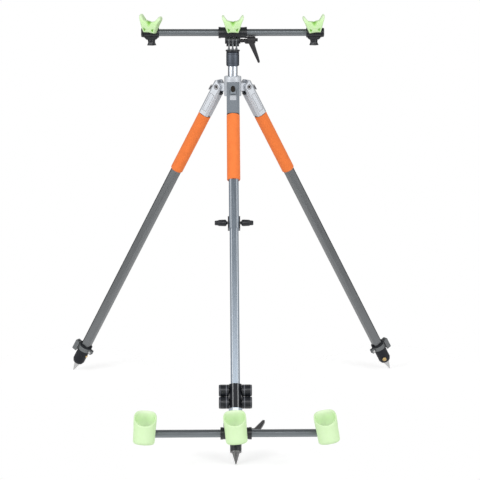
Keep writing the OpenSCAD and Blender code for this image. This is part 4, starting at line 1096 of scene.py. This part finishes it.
for side, turn in KNOB_SIDES:
    pose = FRONT @ spin(turn, "Z") @ move(0, 0, -LOCK_AXIS)
    node = f"front_lock_knob_{side}"
    dress(node, lock_knob_shape(), pose, [BLACK, STEEL], node, "black_plastic")

# Feet

FOOT_CAP = [
    (11.6, -CAP_END), (13.6, -CAP_END), (14, -945.4), (14, -931.2), (13.2, -FRONT_FOOT), (12.2, -FRONT_FOOT),
    (12.2, -CAP_FLOOR), (11.6, -CAP_FLOOR),
]
cap = bmesh.new()
lathe(cap, soft(FOOT_CAP, 0.5, closed=True), n=56, loop=True)
dress("front_foot_cap", cap, FRONT, BLACK, "front_lower", "black_plastic")

PLUG_R, FRONT_PLUG_TOP, SIDE_PLUG_TOP = 9.9, -920.5, -922


def spike_shape(flange_r, flange_top, flange_t, plug_top):
    """Ground spike: cone, flange and the plug inside the tube."""
    bm = bmesh.new()
    root = flange_top - flange_t
    profile = [
        (0, -LEG_END), (0.9, 0.3 - LEG_END, 0.4), (3.4, 8.5 - LEG_END, 0), (8.4, root - 2.6, 1.5),
        (9.25, root, 0.3), (flange_r - 1.2, root, 0.3), (flange_r, root + flange_t * 0.3, 0.6),
        (flange_r, flange_top - flange_t * 0.3), (flange_r - 0.8, flange_top, 0.3), (PLUG_R, flange_top, 0.3),
        (PLUG_R, plug_top), (0, plug_top),
    ]
    lathe(bm, soft(profile, 0.5), n=56)
    return bm


front_spike = spike_shape(flange_r=14, flange_top=-CAP_END, flange_t=5, plug_top=FRONT_PLUG_TOP)
dress("front_spike", front_spike, FRONT, DARK_STEEL, "front_lower", "steel")

FOOT_COLLAR = [
    (12.25, -FOOT_END), (13, -FOOT_END), (14, 0.6 - FOOT_END, 0.3), (17, 8 - FOOT_END, 0.4),
    (17, -3.2 - FOOT_TOP, 0.3), (18.5, -3 - FOOT_TOP, 0.4), (18.5, -0.6 - FOOT_TOP), (17.4, -FOOT_TOP),
    (13.7, -FOOT_TOP), (13.7, -FOOT_SEAT), (12.25, -FOOT_SEAT),
]
INSERT = [(0, 15.8), (5, 15.8), (5, 17.9), (4.4, 18.5), (1.9, 18.5), (1.6, 17.6), (0, 17.6)]
INSERT_PLACES = (("left", 90, 916, 0.85), ("right", 150, 934, 1.15))
BOLT_FACE, BOLT_BACK = 5.02, 18


def on_bolt(spot):
    return abs(spot.x) > BOLT_FACE and spot.y > BOLT_BACK


for leg, around, down, size in INSERT_PLACES:
    pose, body, lever = LEG[leg], f"{leg}_leg", f"{leg}_foot_lever"
    spike = spike_shape(flange_r=10.5, flange_top=-FOOT_END, flange_t=2.5, plug_top=SIDE_PLUG_TOP)
    dress(f"{leg}_spike", spike, pose, STEEL, f"{leg}_lower", "steel")
    collar = bmesh.new()
    lathe(collar, soft(FOOT_COLLAR, 0.6, closed=True), n=64, loop=True)
    dress(f"{leg}_foot_collar", collar, pose, COLLAR, body, "black_plastic")
    band = cad_copy(f"{leg}_foot_band", pose, width=0.35)
    paint_where(band, on_bolt)
    dress(f"{leg}_foot_band", band, pose, [CLAMP, STEEL], body, "grey_clamp", weigh=True)
    dress(lever, cad_copy(lever, pose, width=0.8, steps=3), pose, CLAMP, lever, "grey_clamp", weigh=True)
    insert = bmesh.new()
    lathe(insert, soft([(r * size, h) for r, h in INSERT], 0.3), n=36)
    there = pose @ move(0, 0, -down) @ spin(around, "Z") @ ALONG_X
    piece(f"{leg}_collar_insert", insert, there, BRASS, body, [], "steel")

# Butt carriage on the front leg

CORNER_REACH, SLEEVE_CORNER, COLLAR_CORNER = 14, 0.7, 0.6
BOSS_DOWN, BOSS_R, BOSS_RUN = 884, 11, (15.5, 29.5)
# The sleeve's and the collar's front corner edges take the second paint, a painted highlight.
for node, corner, paints, slot in (
    ("carriage_sleeve", SLEEVE_CORNER, [BRIGHT, PAINTED_HIGHLIGHT], "bright_sleeve"),
    ("carriage_collar", COLLAR_CORNER, [COLLAR, COLLAR_HIGHLIGHT], "black_plastic"),
):
    shell = cad_copy(node, FRONT, width=0)
    round_corners(shell, corner, CORNER_REACH)
    round_edges(shell, width=0.4)
    paint_front_edge_highlights(shell)
    dress(node, shell, FRONT, paints, "carriage", slot, weigh=True)
boss = bmesh.new()
rod(boss, BOSS_R, *BOSS_RUN, spin(180, "Z") @ ALONG_X, edge=3)
piece("carriage_side_boss", boss, FRONT @ move(0, 0, -BOSS_DOWN), BLACK, "carriage", [], "black_plastic")

CARRIAGE_KNOB = [
    (0, 13), (7, 13), (7, 15.5, 0.2), (14, 15.5), (14.8, 16.4), (14.8, 20.6, 0.3), (14.4, 21.2, 0.2),
    (14.4, 21.8, 0.2), (14.6, 22.3, 0.4), (14.8, 23.2, 0.4), (14.8, 36.4, 0.4), (14.1, 37, 0.2),
    (14.1, 37.8, 0.2), (14.6, 38.2, 0.4), (13.8, 39.9, 0.8), (12, 40.4, 0.4), (0, 40.6),
]
CARRIAGE_KNOBS = (("upper", 798.7), ("lower", 828.7))
KNOB_RIBS, RIB_DEEP, RIBS_FROM, RIBS_TO = 24, 0.35, 23.6, 36.2
KNOB_GROOVES = ((20.6, 22.9), (36.5, 38.4))


def in_knob_groove(spot):
    return any(low < spot.x < high for low, high in KNOB_GROOVES)


def carriage_knob_shape():
    """Round screw knob with a ribbed middle between two grooves; the grooves take the second paint, a painted
    highlight.
    """
    bm = bmesh.new()

    def ribs(angle, r, h):
        if RIBS_FROM < h < RIBS_TO:
            return r - RIB_DEEP * (0.5 - 0.5 * math.cos(KNOB_RIBS * angle))
        return r

    lathe(bm, soft(CARRIAGE_KNOB, 0.5), ALONG_X, n=96, wave=ribs)
    # Painted highlight in both grooves.
    paint_where(bm, in_knob_groove)
    return bm


for level, down in CARRIAGE_KNOBS:
    for side, turn in KNOB_SIDES:
        node = f"carriage_knob_{level}_{side}"
        pose = FRONT @ spin(turn, "Z") @ move(0, 0, -down)
        dress(node, carriage_knob_shape(), pose, [BLACK, GROOVE_HIGHLIGHT], node, "black_plastic")

# Stage: a white room, a floor that the camera sees only near the feet, grey flags, lamps and the camera


def stage_plane(name, wide, tall, at, mat):
    bm = bmesh.new()
    square = Matrix.Diagonal((wide, tall, 1, 1))
    bmesh.ops.create_grid(bm, x_segments=1, y_segments=1, size=0.5, matrix=square)
    mesh = bpy.data.meshes.new(name)
    bm.to_mesh(mesh)
    bm.free()
    mesh.materials.append(mat)
    ob = add_object(name, mesh)
    ob.matrix_world = at
    return ob


def combine(tree, operation, sockets):
    """One value made of several by a maths operation."""
    found = sockets[0]
    for socket in sockets[1:]:
        step = add_node(tree, "Math")
        step.operation = operation
        tree.links.new(found, step.inputs[0])
        tree.links.new(socket, step.inputs[1])
        found = step.outputs[0]
    return found


def any_ray(tree, *kinds):
    """One where the ray is of any of these kinds, else nought."""
    path = add_node(tree, "LightPath")
    return combine(tree, "MAXIMUM", [path.outputs[kind] for kind in kinds])


def nearest_of(tree, place, points):
    """Distance from a place to the nearest of some points."""
    gaps = []
    for point in points:
        gap = add_node(tree, "VectorMath")
        gap.operation = "DISTANCE"
        put(gap, 1, point)
        tree.links.new(place, gap.inputs[0])
        gaps.append(gap.outputs["Value"])
    return combine(tree, "MINIMUM", gaps)


def fade_out(tree, distance, near, far):
    """Nought nearer than near and one beyond far."""
    fade = add_node(tree, "MapRange")
    fade.interpolation_type = "SMOOTHSTEP"
    put(fade, "From Min", near)
    put(fade, "From Max", far)
    tree.links.new(distance, fade.inputs["Value"])
    return fade.outputs["Result"]


def floor_paint(glow, feet, seen, lit):
    """Pale floor, lifted to white, that the camera sees near the feet and light meets further out."""
    mat, tree, shader = new_paint("white_floor")
    mat.cycles.emission_sampling = "NONE"
    put(shader, "Base Color", (0.86, 0.86, 0.86, 1))
    put(shader, "Roughness", 0.9)
    put(shader, "Specular IOR Level", 0.1)
    put(shader, "Emission Color", (1, 1, 1, 1))
    lift = add_node(tree, "Math")
    lift.operation = "MULTIPLY"
    put(lift, 1, glow)
    tree.links.new(any_ray(tree, "Is Camera Ray", "Is Glossy Ray", "Is Transmission Ray"), lift.inputs[0])
    tree.links.new(lift.outputs[0], shader.inputs["Emission Strength"])
    place = add_node(tree, "NewGeometry").outputs["Position"]
    choice = add_node(tree, "Mix")
    tree.links.new(any_ray(tree, "Is Camera Ray"), choice.inputs["Factor"])
    middle = nearest_of(tree, place, [(0, 0, 0)])
    tree.links.new(fade_out(tree, middle, *lit), choice.inputs["A"])
    tree.links.new(fade_out(tree, nearest_of(tree, place, feet), *seen), choice.inputs["B"])
    clear = add_node(tree, "BsdfTransparent")
    mix = add_node(tree, "MixShader")
    tree.links.new(choice.outputs["Result"], mix.inputs["Fac"])
    tree.links.new(shader.outputs[0], mix.inputs[1])
    tree.links.new(clear.outputs[0], mix.inputs[2])
    tree.links.new(mix.outputs[0], tree.nodes["Material Output"].inputs["Surface"])
    return mat


def white_room(ambient, mirrored):
    """World that is white to the camera, plain as a light, and in reflections has a level for each rise."""
    world = bpy.data.worlds.new("white_room")
    bpy.context.scene.world = world
    world.use_nodes = True
    world.cycles.sampling_method = "NONE"
    tree = world.node_tree
    tree.nodes.clear()
    shades = {}
    for name, level in (("ambient", ambient), ("seen", 1.0), ("mirrored", 1.0)):
        shades[name] = add_node(tree, "Background")
        put(shades[name], "Color", (1, 1, 1, 1))
        put(shades[name], "Strength", level)
    place = add_node(tree, "TexCoord")
    split = add_node(tree, "SeparateXYZ")
    tree.links.new(place.outputs["Generated"], split.inputs[0])
    rise = add_node(tree, "MapRange")
    put(rise, "From Min", -1.0)
    put(rise, "From Max", 1.0)
    tree.links.new(split.outputs["Z"], rise.inputs["Value"])
    stops = [((z + 1) / 2, (level, level, level)) for z, level in mirrored]
    tree.links.new(ramp(tree, rise.outputs["Result"], stops), shades["mirrored"].inputs["Color"])
    found = shades["ambient"].outputs[0]
    layers = ((("Is Glossy Ray", "Is Transmission Ray"), "mirrored"), (("Is Camera Ray",), "seen"))
    for kinds, name in layers:
        mix = add_node(tree, "MixShader")
        tree.links.new(any_ray(tree, *kinds), mix.inputs["Fac"])
        tree.links.new(found, mix.inputs[1])
        tree.links.new(shades[name].outputs[0], mix.inputs[2])
        found = mix.outputs[0]
    tree.links.new(found, add_node(tree, "OutputWorld").inputs["Surface"])


def softbox(name, place, aim, wide, tall, watts):
    data = bpy.data.lights.new(name, "AREA")
    data.shape, data.size, data.size_y, data.energy = "RECTANGLE", wide, tall, watts
    ob = add_object(name, data)
    ob.location = place
    ob.rotation_euler = (Vector(aim) - Vector(place)).to_track_quat("-Z", "Y").to_euler()
    ob.visible_camera = False


def flag(name, wide, tall, at, level):
    """Panel outside the picture, of one level of grey, that only reflections see."""
    mat, _, shader = new_paint(name)
    mat.cycles.emission_sampling = "NONE"
    put(shader, "Base Color", (0, 0, 0, 1))
    put(shader, "Specular IOR Level", 0)
    put(shader, "Emission Color", (1, 1, 1, 1))
    put(shader, "Emission Strength", level)
    ob = stage_plane(name, wide, tall, at, mat)
    ob.visible_camera = ob.visible_diffuse = ob.visible_shadow = ob.visible_transmission = False


FEET = [pose @ Vector((0, 0, -LEG_END)) * MM for pose in LEG.values()]
FLOOR_SIDE, FLOOR_DOWN = 5, 0.0005
floor_mat = floor_paint(glow=0.44, feet=FEET, seen=(0.1, 0.28), lit=(0.75, 1.5))
floor = stage_plane("floor", FLOOR_SIDE, FLOOR_SIDE, move(0, 0, -FLOOR_DOWN), floor_mat)
floor.visible_shadow = False
white_room(ambient=0.43, mirrored=[(-0.3, 0.25), (0, 1), (0.62, 1), (0.7, 0.75), (0.78, 0.18), (1, 0.3)])

SIDE_FLAG, FRONT_FLAG = (1.5, 3.75, 1.4), (0, -5.2, 1.3)
for name, sign in (("flag_left", -1), ("flag_right", 1)):
    x, y, z = SIDE_FLAG
    beside = move(sign * x, y, z) @ spin(90, "Z") @ spin(90, "X")
    flag(name, wide=6.5, tall=3.0, at=beside, level=0.1)
flag("flag_front", wide=4.0, tall=2.4, at=move(*FRONT_FLAG) @ spin(90, "X"), level=0.5)

AIM, LOW_AIM = (0, -0.2, 0.55), (0, -0.3, 0.3)
softbox("lamp_left", (-2.2, -1.8, 1.6), AIM, wide=1.5, tall=2.6, watts=35)
softbox("lamp_right", (2.2, -1.8, 1.6), AIM, wide=1.5, tall=2.6, watts=29)
softbox("lamp_top", (0, -2.6, 1.8), LOW_AIM, wide=2.2, tall=0.9, watts=18)

CAMERA_AT, CAMERA_DIP, CAMERA_TURN = (-0.0508, -3.9997, 1.279), 11.85, -1
cam_data = bpy.data.cameras.new("camera")
cam_data.lens, cam_data.sensor_width, cam_data.clip_end = 114.4, 36, 200
cam = add_object("camera", cam_data)
cam.location = CAMERA_AT
cam.rotation_euler = (math.radians(90 - CAMERA_DIP), 0, math.radians(CAMERA_TURN))
bpy.context.scene.camera = cam
bpy.context.scene.view_settings.view_transform = "Standard"

bpy.context.view_layer.update()
